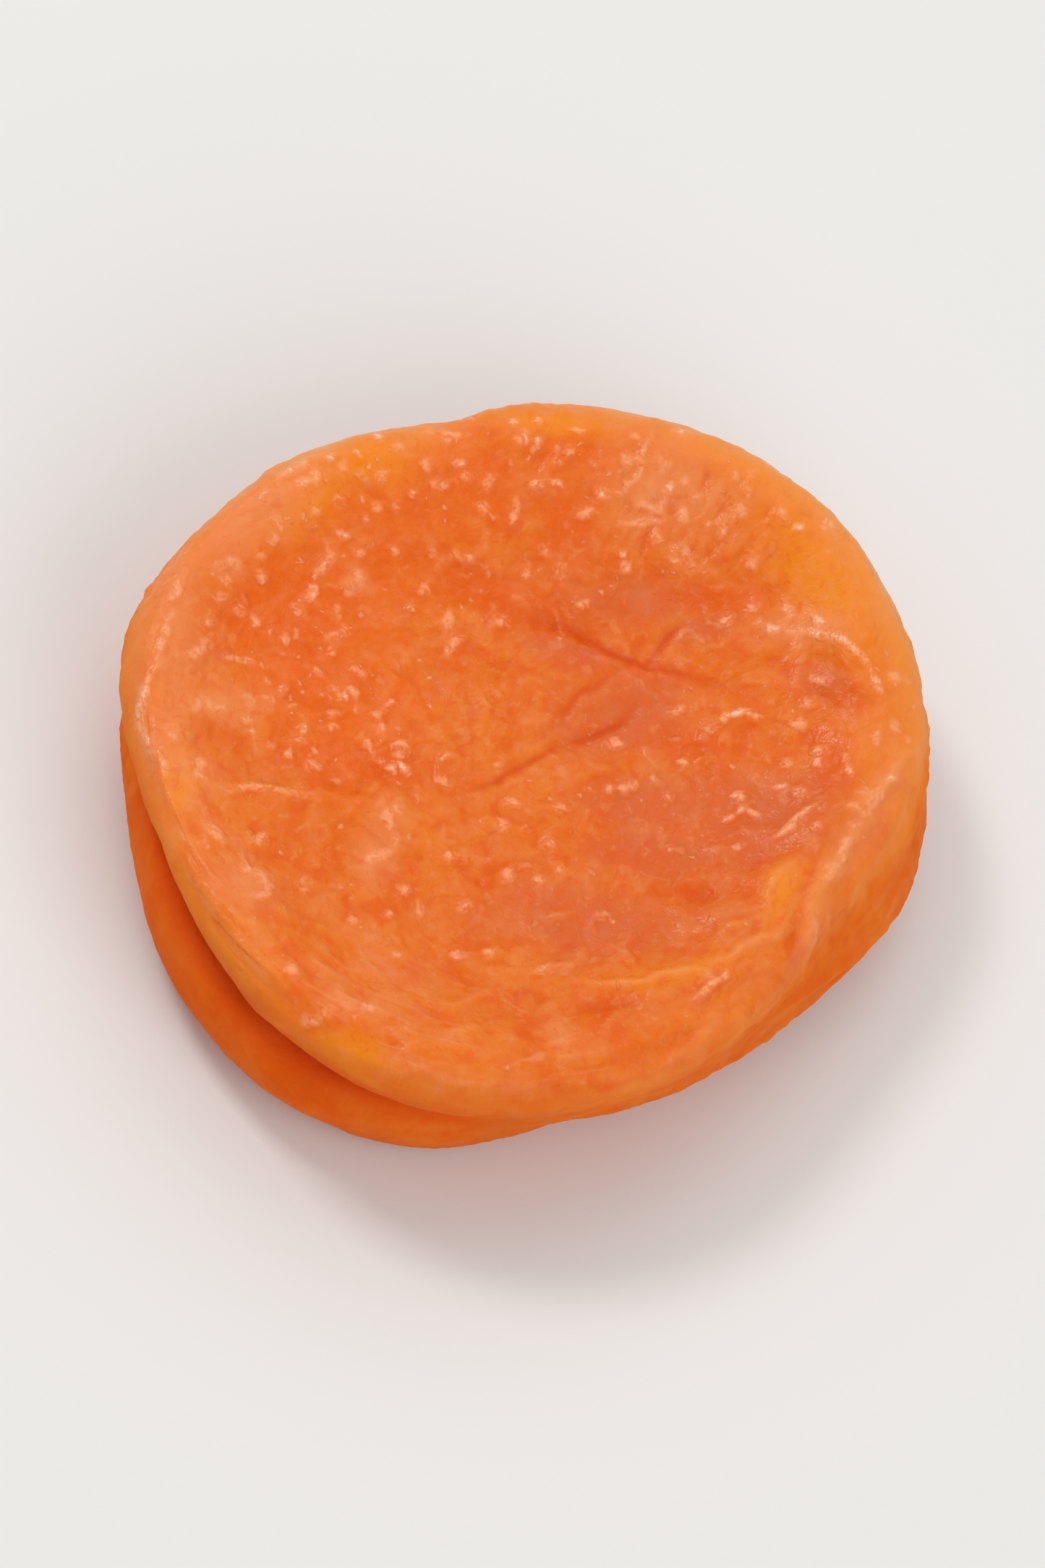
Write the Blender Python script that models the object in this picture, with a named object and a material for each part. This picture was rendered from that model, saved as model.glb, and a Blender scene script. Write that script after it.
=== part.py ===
"""Dried apricot: one whole pitted fruit, dried flat, lying on its underside.

Metres, +Z up. The origin is on the surface the fruit lies on, under the middle of its outline. Seen from
above, azimuths run anticlockwise from +X. The fruit has dried into two lobes: the upper one has a rolled rim
round a sunken, creased face, and on its left and front left it overhangs a groove. The lower one swells out
under the groove and turns in to an underside that is hollowed too. Three low places on the rim of the
underside are pressed flat.
"""

import math
from collections import namedtuple

import bmesh
import bpy
import numpy as np
from mathutils import Vector, noise

MM = 0.001

NODE = "dried_apricot"
GRID = 30  # quads along each edge of the cube that the skin starts as

# Outline and section, in mm. Each ring has a value every 30 degrees of azimuth from +X. The groove's depth
# is measured from midway between the lip above it and the belly below it.
CREST_RADII = (17.7, 19.8, 19.7, 18.4, 18.3, 20.1, 20.5, 20.2, 20.5, 19.2, 17.4, 15.8)
LIP_RADII = (20.4, 21.8, 21.3, 20.0, 19.7, 21.1, 21.4, 21.0, 21.7, 20.9, 18.9, 18.2)
BELLY_RADII = (21.4, 21.2, 20.5, 19.3, 19.0, 20.3, 20.5, 21.4, 21.8, 19.4, 17.9, 19.4)
GROOVE_DEPTHS = (0.0, 0.3, 0.7, 0.7, 0.7, 1.0, 1.7, 2.4, 2.1, 0.1, -0.2, -0.1)
CREST_HEIGHTS = (10.3, 10.5, 10.8, 10.9, 10.6, 10.4, 10.5, 10.7, 10.8, 10.6, 10.3, 10.1)
LIP_HEIGHTS = (7.6, 8.0, 8.3, 8.4, 8.3, 8.2, 8.5, 8.9, 9.1, 8.8, 8.0, 7.5)
INNER_INSET = 4.6  # the rim's inner slope starts this far inside its crest
INNER_DROP = 0.9  # and this far below it
FACE_MIDDLE_RADIUS = 9.0
FACE_HEIGHT = 9.0
FACE_CENTRE_HEIGHT = 8.8
GROOVE_HEIGHT = 6.2
BELLY_HEIGHT = 3.5
FOOT_INSET = 4.6
UNDER_MIDDLE_RADIUS = 8.0
UNDER_MIDDLE_HEIGHT = 1.1
UNDER_CENTRE_HEIGHT = 1.5
ROUNDING = 0.72  # how far a lobe's rounded corners reach towards the corner of the box round them

# Resting places, on the rim of the underside
FOOT_COUNT = 3
FOOT_AZIMUTH = math.radians(30)
FOOT_LOW = -0.25  # before it is pressed flat at height 0
FOOT_HIGH = 0.6
FOOT_CALM_HEIGHT = 0.9  # below this height the relief fades
FOOT_CALM = 0.7  # by this share at height 0

# The share of the way from the middle of the face to the middle of the underside at which each ring lies
KNOTS = np.array((0.0, 0.165, 0.285, 0.365, 0.392, 0.42, 0.446, 0.475, 0.502, 0.54, 0.60, 0.66, 0.83, 1.0))
LIP_SHARE = KNOTS[5]
TURN_SHARE = KNOTS[10]  # where the belly turns in to the foot
FOOT_SHARE = KNOTS[11]
MARK_FADE = 0.04  # share of the way over which the marks of the face and the underside fade in

# Broad lumps and coarse wrinkles: wavelength and height in mm
LUMP_LENGTH = 10.0
LUMP_HEIGHT = 0.45
WRINKLE_LENGTH = 4.6
WRINKLE_HEIGHT = 0.34
WRINKLE_SHARPNESS = 4.0  # the higher, the narrower the wrinkles
BEND_LENGTH = 6.0  # the wrinkles of the middle meander over this length, by this much
BEND_AMOUNT = 1.2
RIM_START = 10.0  # radius from which the wrinkles begin to turn along the rim, and from which they all do
RIM_FULL = 18.0
RIM_CIRCLE = 16.0
RIM_STRETCH = 2.2  # wrinkles near the rim run this much longer along it
SECTION_LENGTH = 50.0  # from the middle of the face to the middle of the underside
NOISE_SHIFTS = (3.0, 7.0, 11.0)  # how far apart the noises are taken, so that they differ
RIM_SHIFT = 20.0

# Where the stalk was, on the wall at the back
STALK_AZIMUTH = math.radians(103)
STALK_REACH = 20.0
STALK_HEIGHT = 6.4
STALK_RADIUS = 3.0
STALK_DEPTH = 0.8

# A fold is a line on the face or the underside, by points in mm: a valley where rise is negative, else a
# ridge. A step has the ground on the left of its line raised, and the lift fades over its reach.
LINE_STEPS = 8  # straight pieces of a smooth line between two of its points
BLUNT_END = 0.04  # the ends of a fold, as a share of its length, keep the height they have there
Fold = namedtuple("Fold", "points rise width")
Step = namedtuple("Step", "points rise width reach")

FACE_FOLDS = (
    Fold(((-2.8, 7.9), (0.4, 7.4), (3.9, 6.1), (5.9, 5.6), (9.9, 4.7)), -0.75, 0.75),
    Fold(((5.9, 5.6), (6.9, 6.9), (8.2, 8.4)), -0.45, 0.7),
    Fold(((6.2, 4.2), (3.9, 1.8), (-0.6, -0.9), (-3.0, -2.6)), -0.5, 0.8),
    Fold(((11.9, 8.1), (15.4, 7.6), (17.0, 5.4), (18.0, 3.9)), 0.45, 0.7),
    Fold(((8.9, 2.1), (10.9, 3.4), (12.0, 3.1)), 0.35, 0.6),
    Fold(((17.9, -0.4), (15.9, -1.9), (14.9, -4.4), (13.7, -9.4), (12.8, -12.4)), 0.5, 0.9),
    Fold(((5.9, -6.9), (7.9, -7.7), (9.9, -7.2)), -0.5, 0.8),
    Fold(((9.9, -6.4), (12.4, -4.9)), -0.55, 0.8),
    Fold(((1.9, -15.2), (4.4, -14.7), (6.0, -14.2)), -0.8, 0.8),
    Fold(((2.9, -13.7), (4.9, -13.4), (6.4, -12.8), (8.9, -12.4)), 0.55, 0.7),
    Fold(((2.9, 19.0), (7.9, 18.5), (11.0, 17.3), (12.2, 15.5)), 0.5, 0.8),
    Fold(((-13.6, 13.2), (-10.6, 15.5), (-7.4, 16.6)), 0.35, 0.8),
    Fold(((-4.0, -6.5), (-5.4, -10.5), (-3.6, -13.6)), -0.35, 0.9),
)
FACE_STEPS = (
    Step(((-8.0, -3.9), (-10.6, -3.4), (-13.1, -3.9), (-16.9, -3.4)), 0.28, 0.6, 2.4),
    Step(((12.9, -12.4), (9.4, -16.0), (5.9, -18.6)), 0.35, 0.6, 2.0),
)
UNDER_FOLDS = (
    Fold(((-12.0, 4.0), (-5.0, 2.5), (0.5, 0.5), (7.5, 1.5)), -0.6, 0.9),
    Fold(((0.5, 0.5), (3.0, -5.0), (2.0, -11.0)), -0.5, 0.9),
    Fold(((-5.0, 2.5), (-7.5, -4.0), (-12.0, -8.0)), -0.4, 0.9),
    Fold(((2.0, 12.5), (4.5, 7.0), (7.5, 1.5)), -0.4, 0.9),
)

SKIN_COLOUR = (0.80, 0.22, 0.035, 1.0)
SKIN_ROUGHNESS = 0.35


def clear_scene():
    for old in list(bpy.data.objects):
        bpy.data.objects.remove(old)


def hermite(start, end, start_slope, end_slope, share):
    """A cubic between two values with the given slopes, at a share of the way."""
    rest = 1.0 - share
    return (
        (1.0 + 2.0 * share) * rest**2 * start
        + share * rest**2 * start_slope
        + share**2 * (3.0 - 2.0 * share) * end
        - share**2 * rest * end_slope
    )


def around(values, azimuth):
    """A ring's value at each azimuth, by the sum of waves that runs through its evenly spaced values."""
    waves = np.fft.rfft(values) / len(values)
    total = np.full_like(azimuth, waves[0].real)
    for count, wave in enumerate(waves[1:], start=1):
        share = 1.0 if 2 * count == len(values) else 2.0
        total += share * (wave * np.exp(1j * count * azimuth)).real
    return total


def rounded(start, end):
    """The point on the bulge between two rings, out towards the radius of the wider one."""
    (start_radius, start_height), (end_radius, end_height) = start, end
    bulge = (ROUNDING - 0.5) * np.tanh(end_radius - start_radius)
    return (
        start_radius + (end_radius - start_radius) * (0.5 + bulge),
        start_height + (end_height - start_height) * (0.5 - bulge),
    )


def foot_heights(azimuth):
    """The rim of the underside dips at evenly spaced places and lifts between them."""
    wave = (1.0 - np.cos(FOOT_COUNT * (azimuth - FOOT_AZIMUTH))) / 2
    return FOOT_LOW + (FOOT_HIGH - FOOT_LOW) * wave


def section(azimuth):
    """Radii and heights in mm of the rings at each azimuth, from the face's middle to the underside's."""
    level = np.ones_like(azimuth)
    crest = around(CREST_RADII, azimuth), around(CREST_HEIGHTS, azimuth)
    lip = around(LIP_RADII, azimuth), around(LIP_HEIGHTS, azimuth)
    belly = around(BELLY_RADII, azimuth), BELLY_HEIGHT * level
    groove = (lip[0] + belly[0]) / 2 - around(GROOVE_DEPTHS, azimuth), GROOVE_HEIGHT * level
    foot = belly[0] - FOOT_INSET, foot_heights(azimuth)
    rings = (
        (0.0 * level, FACE_CENTRE_HEIGHT * level),
        (FACE_MIDDLE_RADIUS * level, FACE_HEIGHT * level),
        (crest[0] - INNER_INSET, crest[1] - INNER_DROP),
        crest,
        rounded(crest, lip),
        lip,
        rounded(lip, groove),
        groove,
        rounded(groove, belly),
        belly,
        rounded(belly, foot),
        foot,
        (UNDER_MIDDLE_RADIUS * level, UNDER_MIDDLE_HEIGHT * level),
        (0.0 * level, UNDER_CENTRE_HEIGHT * level),
    )
    return np.array([radius for radius, _ in rings]), np.array([height for _, height in rings])


def along(rings, share, end_slopes):
    """The value at a share of the way along a section, by a smooth curve through its rings."""
    span = np.diff(KNOTS)
    chord = np.diff(rings, axis=0) / span[:, None]
    slopes = np.empty_like(rings)
    weight = (span[1:] / (span[1:] + span[:-1]))[:, None]
    slopes[1:-1] = weight * chord[:-1] + (1.0 - weight) * chord[1:]
    slopes[0] = end_slopes[0]
    slopes[-1] = end_slopes[1]
    index = np.clip(np.searchsorted(KNOTS, share, side="right") - 1, 0, len(span) - 1)
    column = np.arange(len(share))
    width = span[index]
    return hermite(
        rings[index, column],
        rings[index + 1, column],
        slopes[index, column] * width,
        slopes[index + 1, column] * width,
        (share - KNOTS[index]) / width,
    )


def plain_skin(azimuth, share):
    """Points in mm of the fruit before it wrinkles."""
    radii, heights = section(azimuth)
    top_slope = radii[1] / KNOTS[1]
    under_slope = -radii[-2] / (KNOTS[-1] - KNOTS[-2])
    radius = along(radii, share, (top_slope, under_slope))
    height = along(heights, share, (0.0, 0.0))
    return np.column_stack((radius * np.cos(azimuth), radius * np.sin(azimuth), height))


def noise_at(points):
    return np.array([noise.noise(Vector(point)) for point in points])


def ridged(points):
    """Narrow ridges where the noise crosses zero: 1 on a ridge and 0 away from it."""
    return 1.0 - np.minimum(np.abs(noise_at(points)) * WRINKLE_SHARPNESS, 1.0)


def smooth_line(points):
    """A smooth line through a few points of the plane."""
    points = np.array(points)
    ends = np.vstack((2 * points[0] - points[1], points, 2 * points[-1] - points[-2]))
    line = []
    for before, here, after, beyond in zip(ends, ends[1:], ends[2:], ends[3:], strict=False):
        for step in range(LINE_STEPS):
            share = step / LINE_STEPS
            line.append(hermite(here, after, (after - before) / 2, (beyond - here) / 2, share))
    line.append(points[-1])
    return np.array(line)


def place_on_line(flat, line):
    """How far each point is from a line, on which side (left is positive), and how far along it."""
    distance = np.full(len(flat), np.inf)
    side = np.zeros(len(flat))
    share = np.zeros(len(flat))
    for number, (start, end) in enumerate(zip(line, line[1:], strict=False)):
        run = end - start
        offset = flat - start
        part = np.clip(offset @ run / (run @ run), 0.0, 1.0)
        gap = np.linalg.norm(offset - part[:, None] * run, axis=1)
        nearer = gap < distance
        distance[nearer] = gap[nearer]
        side[nearer] = np.sign(run[0] * offset[nearer, 1] - run[1] * offset[nearer, 0])
        share[nearer] = (number + part[nearer]) / (len(line) - 1)
    return distance, side, share


def fold_rise(flat, fold):
    distance, _, share = place_on_line(flat, smooth_line(fold.points))
    taper = np.sqrt(np.sin(math.pi * np.clip(share, BLUNT_END, 1.0 - BLUNT_END)))
    return fold.rise * taper * np.exp(-((distance / fold.width) ** 2))


def step_rise(flat, step):
    distance, side, share = place_on_line(flat, smooth_line(step.points))
    taper = np.sqrt(np.sin(math.pi * np.clip(share, 0.0, 1.0)))
    across = np.tanh(side * distance / step.width)
    return step.rise * taper * across * np.exp(-((distance / step.reach) ** 2))


def wrinkle_rise(points, azimuth, share):
    """Broad lumps, and soft ridges that run along the rim near it and every way in the middle."""
    lumps = noise_at(points / LUMP_LENGTH) * LUMP_HEIGHT
    radius = np.hypot(points[:, 0], points[:, 1])
    rim_blend = np.clip((radius - RIM_START) / (RIM_FULL - RIM_START), 0.0, 1.0)
    circle = radius * (1.0 - rim_blend) + RIM_CIRCLE * rim_blend
    arc = np.column_stack((np.cos(azimuth), np.sin(azimuth))) * circle[:, None]
    stretched = np.column_stack((arc / RIM_STRETCH, share * SECTION_LENGTH))
    bends = np.column_stack([noise_at(points / BEND_LENGTH + shift) for shift in NOISE_SHIFTS])
    free_ridges = ridged((points + BEND_AMOUNT * bends) / WRINKLE_LENGTH)
    rim_ridges = ridged(stretched / WRINKLE_LENGTH + RIM_SHIFT)
    ridges = free_ridges * (1.0 - rim_blend) + rim_ridges * rim_blend
    return lumps + (ridges - 0.5) * WRINKLE_HEIGHT


def stalk_rise(points):
    """The pucker where the stalk was."""
    along_x = STALK_REACH * math.cos(STALK_AZIMUTH)
    along_y = STALK_REACH * math.sin(STALK_AZIMUTH)
    distance = np.linalg.norm(points - (along_x, along_y, STALK_HEIGHT), axis=1)
    return -STALK_DEPTH * np.exp(-((distance / STALK_RADIUS) ** 2))


def relief(points, azimuth, share):
    """How far in mm the skin stands out from the plain form, at each point."""
    flat = points[:, :2]
    on_face = np.clip((LIP_SHARE - share) / MARK_FADE, 0.0, 1.0)
    on_under = np.clip((share - FOOT_SHARE) / MARK_FADE + 0.5, 0.0, 1.0)
    rise = wrinkle_rise(points, azimuth, share) + stalk_rise(points)
    rise += on_face * sum(fold_rise(flat, fold) for fold in FACE_FOLDS)
    rise += on_face * sum(step_rise(flat, step) for step in FACE_STEPS)
    rise += on_under * sum(fold_rise(flat, fold) for fold in UNDER_FOLDS)
    near_foot = np.clip(1.0 - points[:, 2] / FOOT_CALM_HEIGHT, 0.0, 1.0) * (share > TURN_SHARE)
    return rise * (1.0 - FOOT_CALM * near_foot)


def cube_skin():
    """A cube whose faces are grids, drawn out into a ball, which has even quads all over."""
    skin = bmesh.new()
    bmesh.ops.create_cube(skin, size=2.0)
    bmesh.ops.subdivide_edges(skin, edges=skin.edges[:], cuts=GRID - 1, use_grid_fill=True)
    for vert in skin.verts:
        vert.co = Vector([math.tan(value * math.pi / 4) for value in vert.co]).normalized()
    return skin


def shape_skin(skin):
    """Moves the ball's points to the fruit's plain skin, then out or in along its normals by the relief."""
    ball = np.array([vert.co for vert in skin.verts])
    azimuth = np.arctan2(ball[:, 1], ball[:, 0])
    share = np.arccos(np.clip(ball[:, 2], -1.0, 1.0)) / math.pi
    points = plain_skin(azimuth, share)
    for vert, point in zip(skin.verts, points, strict=True):
        vert.co = point
    skin.normal_update()
    normals = np.array([vert.normal for vert in skin.verts])
    points += normals * relief(points, azimuth, share)[:, None]
    points[:, 2] = np.maximum(points[:, 2], 0.0)
    middle = (points.min(axis=0) + points.max(axis=0)) / 2
    points[:, :2] -= middle[:2]
    for vert, point in zip(skin.verts, points * MM, strict=True):
        vert.co = point


def skin_material():
    material = bpy.data.materials.new("apricot_skin")
    material.use_nodes = True
    shader = material.node_tree.nodes["Principled BSDF"]
    shader.inputs["Base Color"].default_value = SKIN_COLOUR
    shader.inputs["Roughness"].default_value = SKIN_ROUGHNESS
    shader.inputs["Metallic"].default_value = 0.0
    return material


def make_apricot():
    skin = cube_skin()
    shape_skin(skin)
    bmesh.ops.triangulate(skin, faces=skin.faces[:])
    bmesh.ops.recalc_face_normals(skin, faces=skin.faces[:])
    mesh = bpy.data.meshes.new(NODE)
    skin.to_mesh(mesh)
    skin.free()
    mesh.shade_smooth()
    mesh.materials.append(skin_material())
    apricot = bpy.data.objects.new(NODE, mesh)
    bpy.context.scene.collection.objects.link(apricot)
    return apricot


clear_scene()
make_apricot()
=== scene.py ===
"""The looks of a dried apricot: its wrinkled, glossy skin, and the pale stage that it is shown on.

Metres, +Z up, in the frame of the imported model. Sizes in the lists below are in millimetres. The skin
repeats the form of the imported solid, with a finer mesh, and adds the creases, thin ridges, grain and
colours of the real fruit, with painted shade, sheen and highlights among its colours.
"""

import math
from collections import namedtuple

import bmesh
import bpy
import numpy as np
from bpy.props import FloatProperty, FloatVectorProperty, IntProperty, PointerProperty
from mathutils import Matrix, Vector, noise


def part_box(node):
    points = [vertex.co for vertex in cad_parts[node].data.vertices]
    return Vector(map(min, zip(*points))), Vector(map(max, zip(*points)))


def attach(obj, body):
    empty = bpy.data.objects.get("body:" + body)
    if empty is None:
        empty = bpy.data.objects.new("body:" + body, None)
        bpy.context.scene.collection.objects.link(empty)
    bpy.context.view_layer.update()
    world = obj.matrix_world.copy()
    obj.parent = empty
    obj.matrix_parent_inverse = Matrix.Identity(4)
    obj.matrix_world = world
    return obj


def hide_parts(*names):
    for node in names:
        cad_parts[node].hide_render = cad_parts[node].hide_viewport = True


bl_info = {
    "name": "Dried apricot",
    "version": (1, 0, 0),
    "blender": (4, 5, 0),
    "location": "3D View > Sidebar > Apricot",
    "description": "Makes the skin of one dried apricot and the stage it lies on",
    "category": "Object",
}

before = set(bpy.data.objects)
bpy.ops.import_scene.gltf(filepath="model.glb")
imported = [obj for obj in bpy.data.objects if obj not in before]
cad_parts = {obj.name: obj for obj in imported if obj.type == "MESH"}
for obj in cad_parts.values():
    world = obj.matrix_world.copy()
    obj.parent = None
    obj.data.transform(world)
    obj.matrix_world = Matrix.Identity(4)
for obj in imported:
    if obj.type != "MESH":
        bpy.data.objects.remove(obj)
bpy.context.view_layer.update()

NODE = "dried_apricot"
BODY = "root"
SLOT = "apricot_skin"
PIECE = "dried_apricot_skin"
MM = 0.001

# The form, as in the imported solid. Each ring has a value in mm every 30 degrees of azimuth from +X.
CREST_RADII = (17.7, 19.8, 19.7, 18.4, 18.3, 20.1, 20.5, 20.2, 20.5, 19.2, 17.4, 15.8)
LIP_RADII = (20.4, 21.8, 21.3, 20.0, 19.7, 21.1, 21.4, 21.0, 21.7, 20.9, 18.9, 18.2)
BELLY_RADII = (21.4, 21.2, 20.5, 19.3, 19.0, 20.3, 20.5, 21.4, 21.8, 19.4, 17.9, 19.4)
GROOVE_DEPTHS = (0.0, 0.3, 0.7, 0.7, 0.7, 1.0, 1.7, 2.4, 2.1, 0.1, -0.2, -0.1)
CREST_HEIGHTS = (10.3, 10.5, 10.8, 10.9, 10.6, 10.4, 10.5, 10.7, 10.8, 10.6, 10.3, 10.1)
LIP_HEIGHTS = (7.6, 8.0, 8.3, 8.4, 8.3, 8.2, 8.5, 8.9, 9.1, 8.8, 8.0, 7.5)
INNER_INSET = 4.6
INNER_DROP = 0.9
FACE_MIDDLE_RADIUS = 9.0
FACE_HEIGHT = 9.0
FACE_CENTRE_HEIGHT = 8.8
GROOVE_HEIGHT = 6.2
BELLY_HEIGHT = 3.5
FOOT_INSET = 4.6
UNDER_MIDDLE_RADIUS = 8.0
UNDER_MIDDLE_HEIGHT = 1.1
UNDER_CENTRE_HEIGHT = 1.5
ROUNDING = 0.72
FOOT_COUNT = 3
FOOT_AZIMUTH = math.radians(30)
FOOT_LOW = -0.25
FOOT_HIGH = 0.6
KNOTS = np.array((0.0, 0.165, 0.285, 0.365, 0.392, 0.42, 0.446, 0.475, 0.502, 0.54, 0.60, 0.66, 0.83, 1.0))
STALK_AZIMUTH = math.radians(103)
STALK_HEIGHT = 6.4
STALK_RADIUS = 3.0
STALK_REACH = 20.0
STALK_DEPTH = 0.8

# Lumps and coarse wrinkles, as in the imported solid. The wrinkles turn from free to along the rim between
# two radii, and are lower in the middle of the face. Past the turn of the section, all relief is lower close
# to the ground.
LUMP_LENGTH = 10.0
WRINKLE_LENGTH = 4.6
WRINKLE_SHARPNESS = 4.0
MIDDLE_WRINKLES = 0.4
RIM_START = 10.0
RIM_FULL = 18.0
RIM_CIRCLE = 16.0
RIM_STRETCH = 2.2
RIM_SHIFT = 20.0
SECTION_LENGTH = 50.0
TURN_SHARE = 0.6
FOOT_CALM_HEIGHT = 0.9
FOOT_CALM = 0.7

# How much closer the points of the mesh lie on the face than below
FACE_CROWDING = 0.09

# Noise. A layer has a height, a length in mm and a shift that sets it apart, a bend moves points by up to
# an amount in mm, and a pattern of crinkles has a coarse and a fine length.
Layer = namedtuple("Layer", "height length shift")
Bend = namedtuple("Bend", "amount length")
Pattern = namedtuple("Pattern", "lengths shift")

NOISE_SHIFTS = (3.0, 7.0, 11.0)
WOBBLE_LAYERS = (Layer(0.45, 3.2, 31.0), Layer(0.2, 1.3, 37.0))
SOFT_LAYERS = (Layer(0.8, 1.5, 5.0), Layer(0.7, 0.8, 8.0), Layer(0.5, 0.45, 15.0))
WRINKLED_LAYERS = (Layer(1.0, 4.0, 41.0),)
WRINKLED_RANGE = (-0.15, 0.25)
BROAD_BEND = Bend(1.2, 6.0)
FREE_BEND = Bend(1.0, 3.0)
ALONG_RIM_BEND = Bend(0.9, 3.0)
ACROSS_RIM_BEND = Bend(0.7, 3.5)
BEAD_BEND = Bend(0.25, 1.5)

# Crinkles are ridges and thinner valleys, each coarse and fine. They are loose in the middle, run along the
# rim near it, and inwards at the top. The pairs of shares are for the least and the most wrinkled places.
LOOSE_PATTERN = Pattern((2.9, 1.6), 9.0)
TANGENT_PATTERN = Pattern((1.7, 1.0), 13.0)
RADIAL_PATTERN = Pattern((2.2, 1.3), 23.0)
RIDGE_SHARPNESS = (5.5, 4.5)
VALLEY_SHARPNESS = (8.0, 6.0)
CRINKLE_SHIFT = 2.0
FINER_SHARE = 0.6
RIDGE_SHARE = 0.8
VALLEY_SHARE = 1.1
LOOSE_SHARES = (0.1, 0.75)
TANGENT_SHARES = (0.4, 1.0)
RIM_CRINKLES = 0.7
SMOOTHED = 0.5  # the share of the fine wrinkles that rosy and clear places lose

# The circle and the section that fine wrinkles are drawn on, in mm, and how much longer they run along the
# rim or inwards
THREAD_CIRCLE = 19.0
MERIDIAN = 55.0
RIM_RUN = 4.4
INWARD_RUN = 3.2

# Beads of the grain: their usual height, how much it differs, and their radius as a share of their distance
BEAD_HEIGHT = 0.5
BEAD_SPREAD = 0.9
BEAD_SHUFFLE = 7.3
BEAD_RADIUS = 0.27
STRAY_BEADS = 0.15  # the share of their height that beads have outside the grained patches

# Where along the section (0 is the middle of the face, 1 that of the underside) zones fade in and out
FACE_END = (0.38, 0.42)
AMBER_END = (0.42, 0.44)
GROOVE_BAND = ((0.43, 0.465), (0.48, 0.52))
LOBE_BAND = ((0.385, 0.455), (0.62, 0.70))
FACE_MARKS_END = 0.42
UNDER_MARKS_START = 0.64
MARK_FADE = 0.04
OUTER_RADII = (10.0, 17.0)

# The groove has its full painted shade where it is this deep in mm. The painted shade on the lobe is weaker
# where the groove is shallow, and on the side of the rim that is lit.
FULL_GROOVE = 2.0
SHALLOW_DIM = 0.6
SUNNY_CLEAR = 0.7

# Colours round the rim: pale at its top, golden at its edge, and on its outer side a paler colour that is
# painted light, where light catches the rim. Each has its share every 30 degrees of azimuth from +X, how
# uneven that is, its band along the section and how far the upper edge of the band wavers.
RimColour = namedtuple("RimColour", "shares uneven band waver")
RIM_COLOURS = {
    "rim": RimColour(
        (0.8, 0.9, 1.0, 0.9, 1.0, 0.9, 0.5, 0.6, 0.3, 0.2, 0.2, 0.2), 0.3,
        ((0.315, 0.365), (0.42, 0.46)), 0.02,
    ),
    "gold": RimColour(
        (0.6, 1.0, 0.9, 0.4, 0.4, 0.4, 0.2, 0.3, 0.3, 0.1, 0.0, 0.0), 0.5,
        ((0.38, 0.40), (0.42, 0.44)), 0.01,
    ),
    "pale": RimColour(
        (0.2, 0.7, 1.0, 0.5, 0.9, 0.3, 0.2, 0.0, 0.0, 0.0, 0.0, 0.0), 0.6,
        ((0.352, 0.388), (0.44, 0.47)), 0.02,
    ),
}

# How many fine lines run along the rim, every 30 degrees of azimuth from +X
LINE_SHARES = (0.3, 0.2, 0.2, 0.3, 0.3, 0.3, 0.6, 1.0, 1.0, 0.8, 0.6, 0.5)

# Marks on the face and the underside, in mm from the middle of each. The lines of one entry share a rise,
# a width and a strength. Each line gives x and y of its points in turn and runs smoothly through them, and
# a single point is a dot. A negative rise makes a valley. A step raises the ground on the left of its line.
Marks = namedtuple("Marks", "rise width strength lines")
Step = namedtuple("Step", "rise width reach line")

FACE_MIDDLE = (-0.1, -0.4)

# How marks are drawn, with distances in widths of the mark: how far dots and lines reach, how lines taper
# towards their ends, and the bank of the opposite rise that lies beside them
LINE_STEPS = 8
DOT_REACH = 3.0
DOT_SPREAD = 1.2
LINE_REACH = 4.0
LINE_END = 0.04
LINE_TAPER = 0.4
BANK_PLACE = 2.0
BANK_WIDTH = 0.9
BANK_SHARE = 0.22

# Marks waver by a noise of this length in mm, and ridges and wet marks waver further. Creases below are
# less dark.
UNEVEN_LENGTH = 0.9
UNEVEN_MARKS = 0.07
UNEVEN_RIDGES = 0.12
UNDER_CREASE_SHARE = 0.7

TROUGHS = (
    Marks(-0.12, 1.0, 1.0, (
        (-2.7, 8.3, 0.5, 7.8, 4.0, 6.5, 6.0, 6.0, 10.0, 5.1), (6.0, 6.0, 7.0, 7.3, 8.3, 8.8),
        (6.3, 4.6, 4.0, 2.2, -0.5, -0.5, -2.9, -2.2), (-3.9, -6.1, -5.3, -10.1, -3.5, -13.2),
    )),
    Marks(-0.19, 0.9, 1.0, (
        (6.0, -6.5, 8.0, -7.3, 10.0, -6.8), (10.0, -6.0, 12.5, -4.5), (2.0, -14.8, 4.5, -14.3, 6.1, -13.8),
        (13.7, -8.5, 13.6, -10.8),
    )),
    Marks(0.17, 1.0, 1.0, (
        (12.0, 8.5, 15.5, 8.0, 17.1, 5.8, 18.1, 4.3),
        (18.0, 0.0, 16.0, -1.5, 15.0, -4.0, 14.0, -9.0, 12.9, -12.0),
        (3.0, -13.3, 5.0, -13.0, 6.5, -12.4, 9.0, -12.0), (3.0, 19.4, 8.0, 18.9, 11.1, 17.7, 12.3, 15.9),
        (-13.5, 13.6, -10.5, 15.9, -7.3, 17.0), (9.0, 2.5, 11.0, 3.8, 12.1, 3.5),
    )),
)

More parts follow.
